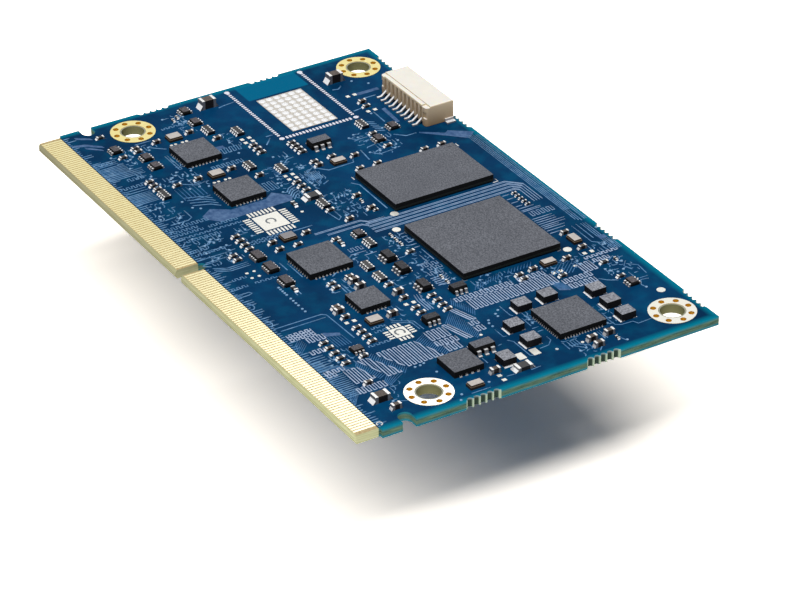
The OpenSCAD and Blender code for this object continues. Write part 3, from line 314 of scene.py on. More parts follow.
def board_finish():
    """Blue mask over copper on the faces, bare laminate at the contacts, glass layers on the walls."""
    made, tree, shader, place = start("blue_laminate_finish", rough=0.32, specular=0.008)
    x, y, z = split(tree, place)
    coords = tree.nodes.new("ShaderNodeTexCoord")
    level = calc(tree, "ABSOLUTE", split(tree, coords.outputs["Normal"])[2])
    face = spread(tree, level, 0.985, 0.995)
    # broad drift and patches of the mask, and the teal window at the left end
    drift = noise(tree, place, 0.07, 4.0, 0.6)
    deep = blend(tree, spread(tree, drift, 0.35, 0.66), MASK_DEEP, MASK_LIGHT)
    patch = noise(tree, place, 0.45, 2.0)
    deep = blend(tree, spread(tree, patch, 0.45, 0.7, 0.0, 0.22), deep, MASK_TEAL)
    left, right, low, high = KEEP_OUT
    window = calc(tree, "MULTIPLY", inside(tree, x, left, right, 0.1), inside(tree, y, low, high, 0.1))
    deep = blend(tree, calc(tree, "MULTIPLY", window, 0.92), deep, MASK_TEAL)
    # teal glow where light leaks in at the cut edges
    near_x = calc(tree, "SUBTRACT", HALF_X, calc(tree, "ABSOLUTE", x))
    near_y = calc(tree, "SUBTRACT", HALF_Y, y)
    nearest = calc(tree, "MINIMUM", near_x, near_y)
    rim = spread(tree, nearest, 0.1, RIM_W, 0.85, 0.0)
    mask = blend(tree, rim, deep, MASK_EDGE)
    from_hole = hole_distance(tree, x, y)
    at_hole = calc(tree, "LESS_THAN", from_hole, RING_R)
    mask = blend(tree, at_hole, mask, RIM_GREY)
    # bare laminate between the contacts, with a painted shadow band on the mask just above them
    bare = calc(tree, "LESS_THAN", y, BARE_TO_Y)
    weave = noise(tree, place, 3.0, 4.0, 0.7)
    bare_colour = blend(tree, spread(tree, weave, 0.35, 0.65), LAMINATE_BARE, LAMINATE_WOVEN)
    edge_shadow = spread(tree, y, BARE_TO_Y, BARE_TO_Y + EDGE_SHADOW_W, 0.85, 0.0)
    top = blend(tree, bare, blend(tree, edge_shadow, mask, PAINTED_EDGE_SHADOW), bare_colour)
    wall = wall_colour(tree, place, x, y, z, nearest, at_hole)
    put(tree, blend(tree, face, wall, top), shader.inputs["Base Color"])
    put(tree, spread(tree, face, 0.0, 1.0, 0.75, 0.32), shader.inputs["Roughness"])
    peel = noise(tree, place, 1.4, 2.0)
    bump(tree, shader, calc(tree, "ADD", calc(tree, "MULTIPLY", weave, 0.5), peel), 0.02, 0.4)
    return made


def gold_finish(name, one, other, wall, glare_tint=(1.0, 0.95, 0.78), glare_share=0.55):
    """Plated gold, uneven in colour, with a painted glare that pales it towards the right end, and walls
    painted darker as painted shade.
    """
    made, tree, shader, place = start(name, metal=0.6, specular=0.5)
    wear = noise(tree, place, 1.5, 4.0, 0.6)
    face = blend(tree, wear, one, other)
    # painted glare: the top pales towards the right end
    face = blend(tree, spread(tree, split(tree, place)[0], GLARE_PAINT_FROM_X, HALF_X, 0.0, glare_share), face, glare_tint)
    # walls and hole barrels painted darker than the top as painted shade
    put(tree, blend(tree, level_face(tree), wall, face), shader.inputs["Base Color"])
    put(tree, spread(tree, wear, 0.2, 0.8, 0.14, 0.28), shader.inputs["Roughness"])
    bump(tree, shader, noise(tree, place, 12.0, 3.0), 0.004)
    return made


def metal_finish(name, colour, other, wall, low, high, grain=6.0, steep=(0.5, 0.8), metal=0.5):
    """Frosted tin or solder with uneven reflow, and with walls painted in a dull dark colour as painted
    shade.
    """
    made, tree, shader, place = start(name, metal=metal)
    patch = noise(tree, place, grain, 3.0, 0.6)
    face = blend(tree, patch, colour, other)
    # walls and steep faces painted darker than the tops as painted shade
    put(tree, blend(tree, facing_up(tree, *steep), wall, face), shader.inputs["Base Color"])
    put(tree, spread(tree, patch, 0.25, 0.75, low, high), shader.inputs["Roughness"])
    bump(tree, shader, patch, 0.006)
    return made


def mould_finish(name, top, light, wall, grain=5.0):
    """Matte moulding with a coarse and a fine grain: a top painted lighter grey as a painted sheen, and
    walls painted dark as painted shade.
    """
    made, tree, shader, place = start(name, rough=0.62, specular=0.12)
    speck = noise(tree, place, grain, 2.0, 0.7)
    cloud = noise(tree, place, 0.25, 2.0)
    grey = blend(tree, spread(tree, speck, 0.36, 0.64), top, light)
    shaded = blend(tree, spread(tree, cloud, 0.3, 0.7, 0.0, 0.3), grey, top)
    # top painted light as a painted sheen, walls painted near black as painted shade
    put(tree, blend(tree, facing_up(tree), wall, shaded), shader.inputs["Base Color"])
    put(tree, spread(tree, speck, 0.2, 0.8, 0.5, 0.75), shader.inputs["Roughness"])
    bump(tree, shader, speck, 0.02, 0.8)
    return made


def ceramic_finish(name, top, wall, rough=0.45, specular=0.3, contrast=1.3):
    """Fired ceramic or glaze with a fine grain, and with walls painted in a dark colour as painted shade."""
    made, tree, shader, place = start(name, rough=rough, specular=specular)
    speck = noise(tree, place, 5.0, 3.0, 0.6)
    lighter = tuple(min(1.0, c * contrast) for c in top)
    body = blend(tree, spread(tree, speck, 0.35, 0.65), top, lighter)
    # walls painted dark as painted shade
    put(tree, blend(tree, facing_up(tree), wall, body), shader.inputs["Base Color"])
    bump(tree, shader, speck, 0.005)
    return made


def lid_finish():
    """Plated crystal lids, pale with a soft cloud and walls painted dark as painted shade; the one beside
    the open quad is duller.
    """
    made, tree, shader, place = start("lid_finish", rough=0.4, specular=0.5)
    x, y = split(tree, place)[:2]
    patch = noise(tree, place, 1.6, 3.0, 0.6)
    body = blend(tree, spread(tree, patch, 0.3, 0.7), (0.48, 0.44, 0.41), (0.60, 0.55, 0.51))
    left, right, low, high = DULL_LID
    dull = calc(tree, "MULTIPLY", inside(tree, x, left, right), inside(tree, y, low, high))
    body = blend(tree, dull, body, (0.23, 0.22, 0.23))
    # walls painted dark brown as painted shade
    put(tree, blend(tree, facing_up(tree), (0.035, 0.022, 0.014), body), shader.inputs["Base Color"])
    put(tree, spread(tree, patch, 0.3, 0.7, 0.32, 0.5), shader.inputs["Roughness"])
    bump(tree, shader, patch, 0.004)
    return made


def ivory_finish():
    """Moulded ivory plastic whose walls are browner and darker towards their foot, partly its translucent
    tint and partly painted shade.
    """
    made, tree, shader, place = start("ivory_finish", rough=0.42, specular=0.35)
    shader.inputs["Subsurface Weight"].default_value = 0.25
    shader.inputs["Subsurface Radius"].default_value = (0.0009, 0.0006, 0.0003)
    z = split(tree, place)[2]
    cloud = noise(tree, place, 0.8, 3.0)
    body = blend(tree, cloud, (0.86, 0.82, 0.73), (0.93, 0.90, 0.82))
    # walls browner and darker towards the foot: partly the plastic's translucency, partly painted shade
    foot = spread(tree, z, TOP / MM, TOP / MM + 2.9, 0.85, 0.0)
    wall = blend(tree, foot, (0.62, 0.50, 0.34), (0.22, 0.13, 0.06))
    put(tree, blend(tree, facing_up(tree), wall, body), shader.inputs["Base Color"])
    bump(tree, shader, noise(tree, place, 9.0, 2.0), 0.004)
    return made


def package_laminate_finish():
    """Dark laminate under the two large packages."""
    made, tree, shader, place = start("package_laminate_finish", rough=0.5, specular=0.3)
    speck = noise(tree, place, 7.0, 3.0)
    put(tree, blend(tree, speck, (0.003, 0.004, 0.003), (0.010, 0.012, 0.008)), shader.inputs["Base Color"])
    return made


def pad_finish(name, one, other, metal=0.35):
    """Pale plated pads with walls painted dark as painted shade."""
    made, tree, shader, place = start(name, metal=metal, rough=0.4)
    patch = noise(tree, place, 3.0, 3.0)
    face = blend(tree, patch, one, other)
    # walls painted at a quarter of the face's colour as painted shade
    dark = tuple(c * 0.25 for c in one)
    put(tree, blend(tree, facing_up(tree), dark, face), shader.inputs["Base Color"])
    bump(tree, shader, patch, 0.004)
    return made


def trace_finish(name, one, other):
    """Copper under the blue mask: lighter than the board round it, uneven where the mask is thin."""
    made, tree, shader, place = start(name, rough=0.4, specular=0.1)
    patch = noise(tree, place, 1.2, 3.0, 0.6)
    put(tree, blend(tree, spread(tree, patch, 0.3, 0.7), one, other), shader.inputs["Base Color"])
    bump(tree, shader, noise(tree, place, 6.0, 2.0), 0.004)
    return made


def masked_via_finish():
    """Vias that show pale through the mask."""
    made, tree, shader, place = start("masked_via_finish", rough=0.35, specular=0.3)
    patch = noise(tree, place, 2.0, 2.0)
    put(tree, blend(tree, patch, (0.12, 0.28, 0.48), (0.30, 0.46, 0.64)), shader.inputs["Base Color"])
    return made


def ink_finish(name, colour):
    """Print ink, slightly broken up at its edges."""
    made, tree, shader, place = start(name, rough=0.6, specular=0.2)
    speck = noise(tree, place, 10.0, 3.0, 0.7)
    worn = tuple(c * 0.75 for c in colour)
    put(tree, blend(tree, spread(tree, speck, 0.35, 0.6), worn, colour), shader.inputs["Base Color"])
    bump(tree, shader, speck, 0.005)
    return made


FINISH = {
    "board": board_finish(),
    "gold": gold_finish("gold_finish", (1.0, 0.86, 0.40), (1.0, 0.94, 0.54), (0.62, 0.44, 0.17)),
    # the rings' painted glare goes almost to white at the right end
    "ring": gold_finish("ring_finish", (1.0, 0.82, 0.28), (1.0, 0.92, 0.44), (0.80, 0.50, 0.04),
                        (1.0, 1.0, 0.97), 0.9),
    "solder": metal_finish("solder_finish", (0.90, 0.91, 0.93), (1.0, 1.0, 1.0), (0.12, 0.12, 0.13),
                           0.16, 0.36, 6.0, (0.2, 0.5)),
    "joint": metal_finish("joint_finish", (0.70, 0.70, 0.72), (0.95, 0.95, 0.95), (0.03, 0.03, 0.035),
                          0.2, 0.4, 6.0, (0.75, 0.95)),
    "tin": metal_finish("tin_finish", (0.88, 0.88, 0.90), (1.0, 1.0, 1.0), (0.20, 0.20, 0.21), 0.2, 0.4,
                        metal=0.3),
    "ends": metal_finish("end_finish", (0.85, 0.85, 0.84), (1.0, 1.0, 0.98), (0.20, 0.20, 0.21), 0.25, 0.45,
                         9.0),
    "lid": lid_finish(),
    "package": package_laminate_finish(),
    "mould": mould_finish("mould_finish", (0.070, 0.075, 0.088), (0.206, 0.216, 0.246),
                          (0.003, 0.003, 0.003)),
    "grey_mould": mould_finish("grey_mould_finish", (0.072, 0.076, 0.090), (0.215, 0.230, 0.265),
                               (0.002, 0.002, 0.002)),
    "dark_mould": mould_finish("dark_mould_finish", (0.052, 0.046, 0.050), (0.170, 0.158, 0.170),
                               (0.002, 0.002, 0.002)),
    "black_mould": mould_finish("black_mould_finish", (0.026, 0.026, 0.030), (0.090, 0.092, 0.100),
                                (0.002, 0.002, 0.002)),
    "ferrite": mould_finish("ferrite_finish", (0.140, 0.143, 0.165), (0.440, 0.460, 0.510),
                            (0.004, 0.004, 0.005), 4.0),
    "ivory": ivory_finish(),
    "crystal": ceramic_finish("crystal_finish", (0.120, 0.085, 0.055), (0.012, 0.008, 0.005)),
    "capacitor": ceramic_finish("capacitor_finish", (0.050, 0.040, 0.034), (0.006, 0.004, 0.003),
                                contrast=2.4),
    "resistor": ceramic_finish("resistor_finish", (0.40, 0.40, 0.39), (0.010, 0.010, 0.010)),
    "coat": ceramic_finish("coat_finish", (0.010, 0.010, 0.012), (0.003, 0.003, 0.004), 0.3, 0.4),
    "pad": pad_finish("pad_finish", (0.80, 0.79, 0.72), (0.95, 0.94, 0.88)),
    "row_pad": pad_finish("row_pad_finish", (0.70, 0.70, 0.82), (0.92, 0.92, 0.98)),
    "ground_pad": pad_finish("ground_pad_finish", (0.46, 0.43, 0.38), (0.66, 0.62, 0.56), 0.0),
    "pale_trace": trace_finish("pale_trace_finish", (0.300, 0.405, 0.580), (0.500, 0.600, 0.780)),
    "trace": trace_finish("trace_finish", (0.170, 0.290, 0.480), (0.330, 0.450, 0.640)),
    "mid_trace": trace_finish("mid_trace_finish", (0.045, 0.160, 0.340), (0.185, 0.350, 0.560)),
    "dim_trace": trace_finish("dim_trace_finish", (0.025, 0.110, 0.260), (0.070, 0.200, 0.400)),
    "pour": trace_finish("pour_finish", (0.016, 0.065, 0.180), (0.100, 0.190, 0.360)),
    "via": masked_via_finish(),
    "ink": ink_finish("ink_finish", (0.80, 0.82, 0.82)),
    "faint_ink": ink_finish("faint_ink_finish", (0.20, 0.22, 0.24)),
}

NODE_FINISH = {
    "board": ["circuit_board"],
    "gold": ["top_edge_contacts", "underside_edge_contacts"],
    "ring": ["hole_platings"],
    "solder": ["processor_balls", "memory_balls", "chip_part_solder", "open_module_bumps"],
    "joint": ["no_lead_solder", "no_lead_terminals", "power_manager_terminals"],
    "package": ["processor_substrate", "memory_substrate"],
    "mould": [
        "processor_moulding", "memory_moulding", "left_interface_chip", "right_interface_chip",
        "bridge_chip", "controller_chip", "power_manager", "power_switch"],
    "grey_mould": ["large_chips"],
    "dark_mould": ["protection_arrays", "slim_chips"],
    "black_mould": ["medium_chips"],
    "tin": [
        "slim_chip_leads", "medium_chip_leads", "large_chip_leads", "protection_array_leads",
        "wire_connector_contacts", "wire_connector_anchors", "inductor_terminals"],
    "ivory": ["wire_connector_housing"],
    "crystal": ["crystal_bases"],
    "lid": ["crystal_lids"],
    "ferrite": ["inductor_cores"],
    "capacitor": ["large_capacitors", "medium_capacitors", "small_capacitors", "underside_capacitors"],
    "ends": [
        "large_capacitor_ends", "medium_capacitor_ends", "small_capacitor_ends", "resistor_ends",
        "resistor_network_ends", "underside_capacitor_ends"],
    "resistor": ["resistors"],
    "coat": ["resistor_coats", "resistor_networks"],
    "pad": ["open_quad_pads", "open_chip_pads", "test_pads", "fiducials"],
    "row_pad": ["open_module_pads"],
    "ground_pad": ["open_module_ground_pad"],
}


def dress_frame():
    """Gives each CAD node its finish."""
    for finish, names in NODE_FINISH.items():
        for name in names:
            for slot in nodes[name].material_slots:
                slot.material = FINISH[finish]


dress_frame()


# Printed copper under the mask, vias, pours and print marks, all in millimetres on the board's plan
STRIP_H = 0.045
STRIP_W = 0.14
STRIP_SLOPE = 0.7
PIECE_STEP = 0.0025
LINE_STEP = 0.0004
LINE_STEPS = 6
MEANDER_PITCH = 0.36
MEANDER_STEPS = 24
ARC_STEPS = 10
VIA_H = 0.062
VIA_R = 0.17
VIA_SIDES = 10
VIA_RIM = 0.55
VIA_DIMPLE = 0.8
INK_H = 0.02
POUR_H = 0.015


def shift(line, dx, dy):
    """A line moved aside."""
    return [(x + dx, y + dy) for x, y in line]


def parallel(line, count, dx, dy):
    """Copies of a line side by side."""
    return [shift(line, i * dx, i * dy) for i in range(count)]


def meander(x0, x1, y0, y1, lift=0.0, pitch=MEANDER_PITCH):
    """One line folded to and fro along X between two heights, its rows rising by lift from x0 to x1."""
    count = int(abs(y1 - y0) / pitch) + 1
    step = math.copysign(pitch, y1 - y0)
    line = []
    for i in range(count):
        fold = [(x0, y0 + i * step), (x1, y0 + i * step + lift)]
        line += fold if i % 2 == 0 else fold[::-1]
    return line


def mix(a, b, share):
    """Value a where share is 0, value b where it is 1."""
    return a + (b - a) * share


def filled_meander(x0, x1, top, foot):
    """One line folded in level rows between a sloping top and foot, given by their heights at x0, x1."""
    line = []
    y = max(top) - MEANDER_PITCH / 2
    while y > min(foot):
        shares = [i / MEANDER_STEPS for i in range(MEANDER_STEPS + 1)]
        shares = [s for s in shares if mix(*foot, s) <= y <= mix(*top, s)]
        if len(shares) > 1:
            ends = [(mix(x0, x1, shares[0]), y), (mix(x0, x1, shares[-1]), y)]
            line += ends if len(line) % 4 == 0 else ends[::-1]
        y -= MEANDER_PITCH
    return line


def hatch(top, foot, count):
    """Straight lines side by side, from points along one edge to points along another."""
    lines = []
    for i in range(count):
        share = i / (count - 1)
        lines.append([tuple(mix(a, b, share) for a, b in zip(*edge)) for edge in (top, foot)])
    return lines


def upright(x0, x1, y0, y1, count):
    """Upright lines side by side between two heights."""
    return hatch(((x0, y0), (x1, y0)), ((x0, y1), (x1, y1)), count)


def beads(x, y0, y1, width=0.42):
    """A narrow folded line, which reads as a string of beads."""
    return meander(x - width / 2, x + width / 2, y0, y1)


def arc(x, y, r, from_angle, to_angle):
    """Points along an arc, its angles in degrees."""
    turn = [math.radians(from_angle + (to_angle - from_angle) * i / ARC_STEPS) for i in range(ARC_STEPS + 1)]
    return [(x + r * math.cos(a), y + r * math.sin(a)) for a in turn]


def settle(made, name, finish):
    """Names a finished piece, gives it its finish and lets it ride on the board."""
    made.name = name
    made.data.materials.clear()
    made.data.materials.append(FINISH[finish])
    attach(made, "root")
    made.select_set(False)
    return made


def to_clean_mesh(made):
    """Turns a drawn curve into a mesh whose faces point outwards."""
    bpy.ops.object.select_all(action="DESELECT")
    made.select_set(True)
    bpy.context.view_layer.objects.active = made
    bpy.ops.object.convert(target="MESH")
    made = bpy.context.object
    bpy.ops.object.mode_set(mode="EDIT")
    bpy.ops.mesh.select_all(action="SELECT")
    bpy.ops.mesh.remove_doubles(threshold=1e-7)
    bpy.ops.mesh.normals_make_consistent(inside=False)
    bpy.ops.object.mode_set(mode="OBJECT")
    return made


def new_curve(name, dimensions):
    """An empty curve, flat (2D) or free in space (3D)."""
    data = bpy.data.curves.new(name, "CURVE")
    data.dimensions = dimensions
    made = bpy.data.objects.new(name, data)
    bpy.context.scene.collection.objects.link(made)
    return made


def add_line(data, points, z=0.0, closed=False):
    """Adds a straight-sided line to a curve."""
    spline = data.splines.new("POLY")
    spline.points.add(len(points) - 1)
    for point, (x, y) in zip(spline.points, points):
        point.co = (x * MM, y * MM, z * MM, 1)
    spline.use_cyclic_u = closed


def strips(name, lines, finish, width=STRIP_W, height=STRIP_H, z=None):
    """Flat strips with sloped sides along the lines, in tiny steps of height to keep crossings clean."""
    z = TOP / MM if z is None else z
    profile = new_curve("strip_profile", "2D")
    half = width / 2
    crest = half * STRIP_SLOPE
    add_line(profile.data, [(-half, 0), (half, 0), (crest, height), (-crest, height)], closed=True)
    made = new_curve(name, "3D")
    made.data.twist_mode = "Z_UP"
    made.data.bevel_mode = "OBJECT"
    made.data.bevel_object = profile
    made.data.use_fill_caps = True
    for i, line in enumerate(lines):
        add_line(made.data, line, z + i % LINE_STEPS * LINE_STEP)
    made = to_clean_mesh(made)
    bpy.data.objects.remove(profile)
    return settle(made, name, finish)


def pours(name, outlines, finish):
    """Flat plates of copper under the mask, one for each outline."""
    made = new_curve(name, "2D")
    made.data.fill_mode = "BOTH"
    made.data.extrude = POUR_H * MM / 2
    for outline in outlines:
        add_line(made.data, outline, closed=True)
    made.location.z = TOP + POUR_H * MM / 2
    made = to_clean_mesh(made)
    bpy.ops.object.transform_apply(location=True)
    return settle(made, name, finish)


def dimpled_dots(name, places, finish, side=1):
    """Round plated dots with a dimple in the middle, on the top (side 1) or the underside (side -1)."""
    z = (TOP if side > 0 else UNDER) / MM
    bpy.ops.object.select_all(action="DESELECT")
    bpy.ops.mesh.primitive_cylinder_add(vertices=VIA_SIDES, radius=VIA_R * MM, depth=2 * VIA_H * MM)
    first = bpy.context.object
    bpy.ops.object.mode_set(mode="EDIT")
    bpy.ops.mesh.select_all(action="DESELECT")
    bpy.ops.object.mode_set(mode="OBJECT")
    for face in first.data.polygons:
        face.select = face.normal.z * side > 0.9
    bpy.ops.object.mode_set(mode="EDIT")
    bpy.ops.mesh.inset(thickness=VIA_R * VIA_RIM * MM)
    bpy.ops.transform.translate(value=(0, 0, -side * STRIP_H * VIA_DIMPLE * MM))
    bpy.ops.object.mode_set(mode="OBJECT")
    copies = []
    for x, y in places:
        copy = first.copy()
        copy.data = first.data.copy()
        copy.location = (x * MM, y * MM, z * MM)
        bpy.context.scene.collection.objects.link(copy)
        copies.append(copy)
    bpy.data.objects.remove(first)
    bpy.ops.object.select_all(action="DESELECT")
    for copy in copies:
        copy.select_set(True)
    bpy.context.view_layer.objects.active = copies[0]
    bpy.ops.object.join()
    bpy.ops.object.transform_apply(location=True)
    return settle(bpy.context.object, name, finish)


def row(x0, x1, y, pitch):
    """Places in a level row."""
    count = int(round((x1 - x0) / pitch)) + 1
    return [(x0 + i * pitch, y) for i in range(count)]


# Places of the contacts, packages and pads that the lines and marks keep to
CONTACT_PITCH = 0.5
CONTACT_HALF_W = 0.175
KEY_SLOT = (-3.2, -0.8)
FEED_Y = -21.75
FEED_LENGTHS = (0.35, 0.5, 0.9, 1.4)
CPU_OUTLINE = (4.0, 18.0, 3.55, 17.55)
CORNER = 0.5
QUAD_PADS = ((-7.15, -9.15), (24.0, -9.1))
PAIR_GAP = 0.24
PAIR_BEND_Y = 20.9

# Underside: grids of vias from x0 to x1 and y0 to y1 at a pitch, and fans of feeds from x0 to x1
UNDER_GRIDS = ((4.6, 17.4, 4.2, 17.0, 0.8), (-9.4, -1.9, 6.2, 18.6, 0.95), (30.4, 34.4, 8.6, 12.4, 0.9))
UNDER_CLEAR = 0.8
UNDER_FANS = ((-31.0, -24.5), (-17.5, -12.0), (4.0, 15.0), (22.0, 34.0))
UNDER_FAN_PITCH = 1.0
UNDER_FAN_HIGH = -16.4
UNDER_FAN_LOW = -17.3


def matched_lines_right():
    """The folded lines of matched length that run down the right half."""
    return [
        filled_meander(26.6, 31.0, (-8.7, -7.2), (-14.3, -12.3)),
        filled_meander(26.9, 31.6, (-15.3, -13.2), (-16.7, -15.2)),
        filled_meander(28.0, 31.1, (-17.4, -16.5), (-19.3, -19.3)),
        meander(32.1, 33.3, -16.3, -20.1), meander(25.4, 29.4, -3.4, -4.2, 1.1),
        meander(25.6, 27.7, -4.3, -7.0), meander(28.1, 29.1, -4.0, -7.0), meander(29.3, 30.7, -4.5, -6.6),
        meander(20.9, 21.8, 8.2, 0.2), meander(22.1, 24.3, 13.2, 1.2),
        meander(22.9, 26.1, -0.8, -1.6, 1.0), meander(26.4, 27.2, 0.0, -1.3),
        meander(27.6, 28.7, 0.0, -1.1), meander(24.1, 25.0, 17.6, 13.6), meander(25.4, 26.4, 17.4, 13.6),
        meander(21.9, 24.0, 19.0, 17.2), meander(21.9, 22.6, 21.7, 19.2), beads(21.2, 23.6, 18.8),
        meander(19.4, 20.5, -17.2, -19.7), beads(17.85, -17.8, -21.4), beads(18.4, -17.8, -21.4),
        beads(18.95, -17.8, -21.4), beads(27.4, -18.8, -21.4, 0.7), meander(22.2, 23.0, -18.6, -20.6),
        meander(20.9, 21.8, 12.8, 9.0), meander(27.2, 28.4, -20.2, -21.4),
    ]


def hatched_lines():
    """Short lines side by side, most of them slanted, between the folded lines and elsewhere."""
    lines = hatch(((25.9, -7.1), (30.2, -5.9)), ((26.8, -8.6), (31.1, -7.1)), 16)
    lines += hatch(((26.3, -14.4), (31.1, -12.4)), ((27.1, -15.2), (32.1, -13.3)), 18)
    lines += hatch(((26.8, -16.7), (30.9, -15.1)), ((27.8, -17.4), (31.6, -16.4)), 14)
    lines += hatch(((31.0, -15.0), (32.0, -13.6)), ((32.5, -16.3), (33.5, -16.1)), 6)
    lines += hatch(((23.0, -1.5), (29.0, -0.9)), ((25.2, -3.5), (29.9, -2.0)), 20)
    lines += hatch(((20.5, 0.1), (24.0, 1.3)), ((21.9, -0.6), (25.4, 0.5)), 12)
    lines += hatch(((31.6, -19.3), (33.3, -20.3)), ((33.1, -21.7), (35.0, -21.7)), 7)
    lines += hatch(((27.0, -18.6), (28.1, -17.5)), ((26.0, -20.4), (27.1, -20.5)), 5)
    lines += hatch(((20.9, 18.4), (20.3, 15.7)), ((23.2, 15.8), (22.6, 13.1)), 7)
    lines += hatch(((24.6, 13.4), (26.6, 14.0)), ((23.4, 12.0), (25.3, 12.2)), 8)
    lines += hatch(((18.9, -19.9), (20.6, -19.9)), ((20.6, -21.6), (22.3, -21.6)), 6)
    lines += hatch(((20.6, -15.3), (20.6, -17.1)), ((23.1, -15.2), (23.1, -17.0)), 6)
    lines += hatch(((-20.4, -12.6), (-20.4, -15.7)), ((-17.3, -12.6), (-17.3, -15.7)), 7)
    lines += hatch(((-19.0, -2.2), (-16.2, -2.2)), ((-19.3, -2.9), (-16.5, -2.9)), 6)
    lines += hatch(((-12.9, 0.7), (-12.9, -0.4)), ((-15.4, 0.7), (-15.4, -0.4)), 4)
    lines += hatch(((18.4, 12.9), (18.4, 9.7)), ((19.3, 12.2), (19.3, 9.0)), 8)
    lines += hatch(((18.5, 8.2), (19.4, 4.4)), ((19.6, 7.4), (20.5, 3.6)), 10)
    return lines


def rising_lines():
    """The upright lines that rise side by side from the contacts."""
    lines = upright(28.3, 33.2, -19.5, -21.7, 13)
    lines += upright(23.6, 26.6, -19.4, -21.7, 7)
    lines += upright(-31.4, -30.5, -18.5, -21.7, 3)
    lines += upright(-29.9, -28.1, -18.0, -21.7, 6)
    lines += upright(-27.8, -26.6, -16.6, -21.7, 4)
    lines += upright(-21.9, -19.4, -18.4, -21.7, 8)
    return lines


def memory_lines():
    """Four pairs that run down between the memory and the processor, and two that go on to the front."""
    lines = []
    for x, top in ((-0.15, 22.6), (0.55, 22.2), (1.3, 21.8), (2.05, 21.4)):
        for side in (-PAIR_GAP / 2, PAIR_GAP / 2):
            turn = x + top - PAIR_BEND_Y
            lines.append([(x + side, 0.5), (x + side, PAIR_BEND_Y), (turn + side, top), (6.0, top)])
    lines += parallel([(-0.4, 3.4), (-0.4, 1.1), (-1.2, 0.3), (-1.2, -6.2)], 2, -PAIR_GAP, 0.0)
    lines += parallel([(0.5, 0.7), (-0.25, 0.0), (-0.25, -4.9)], 2, -PAIR_GAP, 0.0)
    return lines


def back_bus():
    """The bus along the back edge, from the wire connector to the processor."""
    lines = parallel([(-12.6, 24.6), (9.7, 24.6), (13.0, 24.6)], 2, 0.0, -0.28)
    lines += parallel([(-12.9, 24.0), (10.0, 24.0)], 4, 0.0, -0.26)
    lines += parallel([(10.1, 23.8), (13.2, 23.8)], 3, -0.3, -0.3)
    lines += parallel([(13.8, 23.8), (17.5, 23.8)], 3, 0.0, -0.3)
    lines += [[(13.6, 22.6), (17.6, 22.6)], [(13.7, 21.9), (18.2, 21.9), (19.3, 23.0)]]
    lines += parallel([(18.4, 24.4), (21.2, 24.4)], 5, 0.0, -0.28)
    return lines


def processor_escape():
    """Short lines that leave the processor on its back and front sides."""
    lines = []
    for x, top in ((6.7, 20.8), (7.3, 21.4), (7.6, 21.3), (9.8, 21.5), (10.3, 21.6), (10.8, 21.5),
                   (11.3, 22.4), (11.8, 22.2), (12.2, 21.0), (12.6, 21.6), (13.2, 21.3), (13.9, 20.2)):
        lines.append([(x, 18.6), (x, top)])
    lines.append(meander(8.05, 9.1, 19.2, 22.6))
    lines += parallel([(2.9, 18.6), (2.9, 19.6)], 4, 1.05, 0.0)
    lines += parallel([(4.2, 3.4), (4.2, 2.6)], 6, 0.75, 0.0)
    lines += [meander(12.0, 12.7, 3.2, 1.0), meander(13.0, 13.6, 3.2, 1.2), meander(14.0, 14.7, 2.6, 0.6)]
    lines += parallel([(14.9, 2.6), (15.4, 1.9), (15.4, 0.4)], 5, 0.45, 0.0)
    lines += [[(9.6, 3.2), (11.6, 3.2)], [(9.8, 2.2), (11.8, 2.2), (11.8, 0.6)]]
    lines += [meander(4.0, 4.8, -2.8, -4.9), [(5.4, -2.8), (5.4, -5.0)], [(6.3, -1.8), (6.3, -3.5)]]
    lines += parallel([(17.6, -2.6), (19.0, -2.9), (21.5, -2.9)], 3, 0.0, -0.35)
    return lines


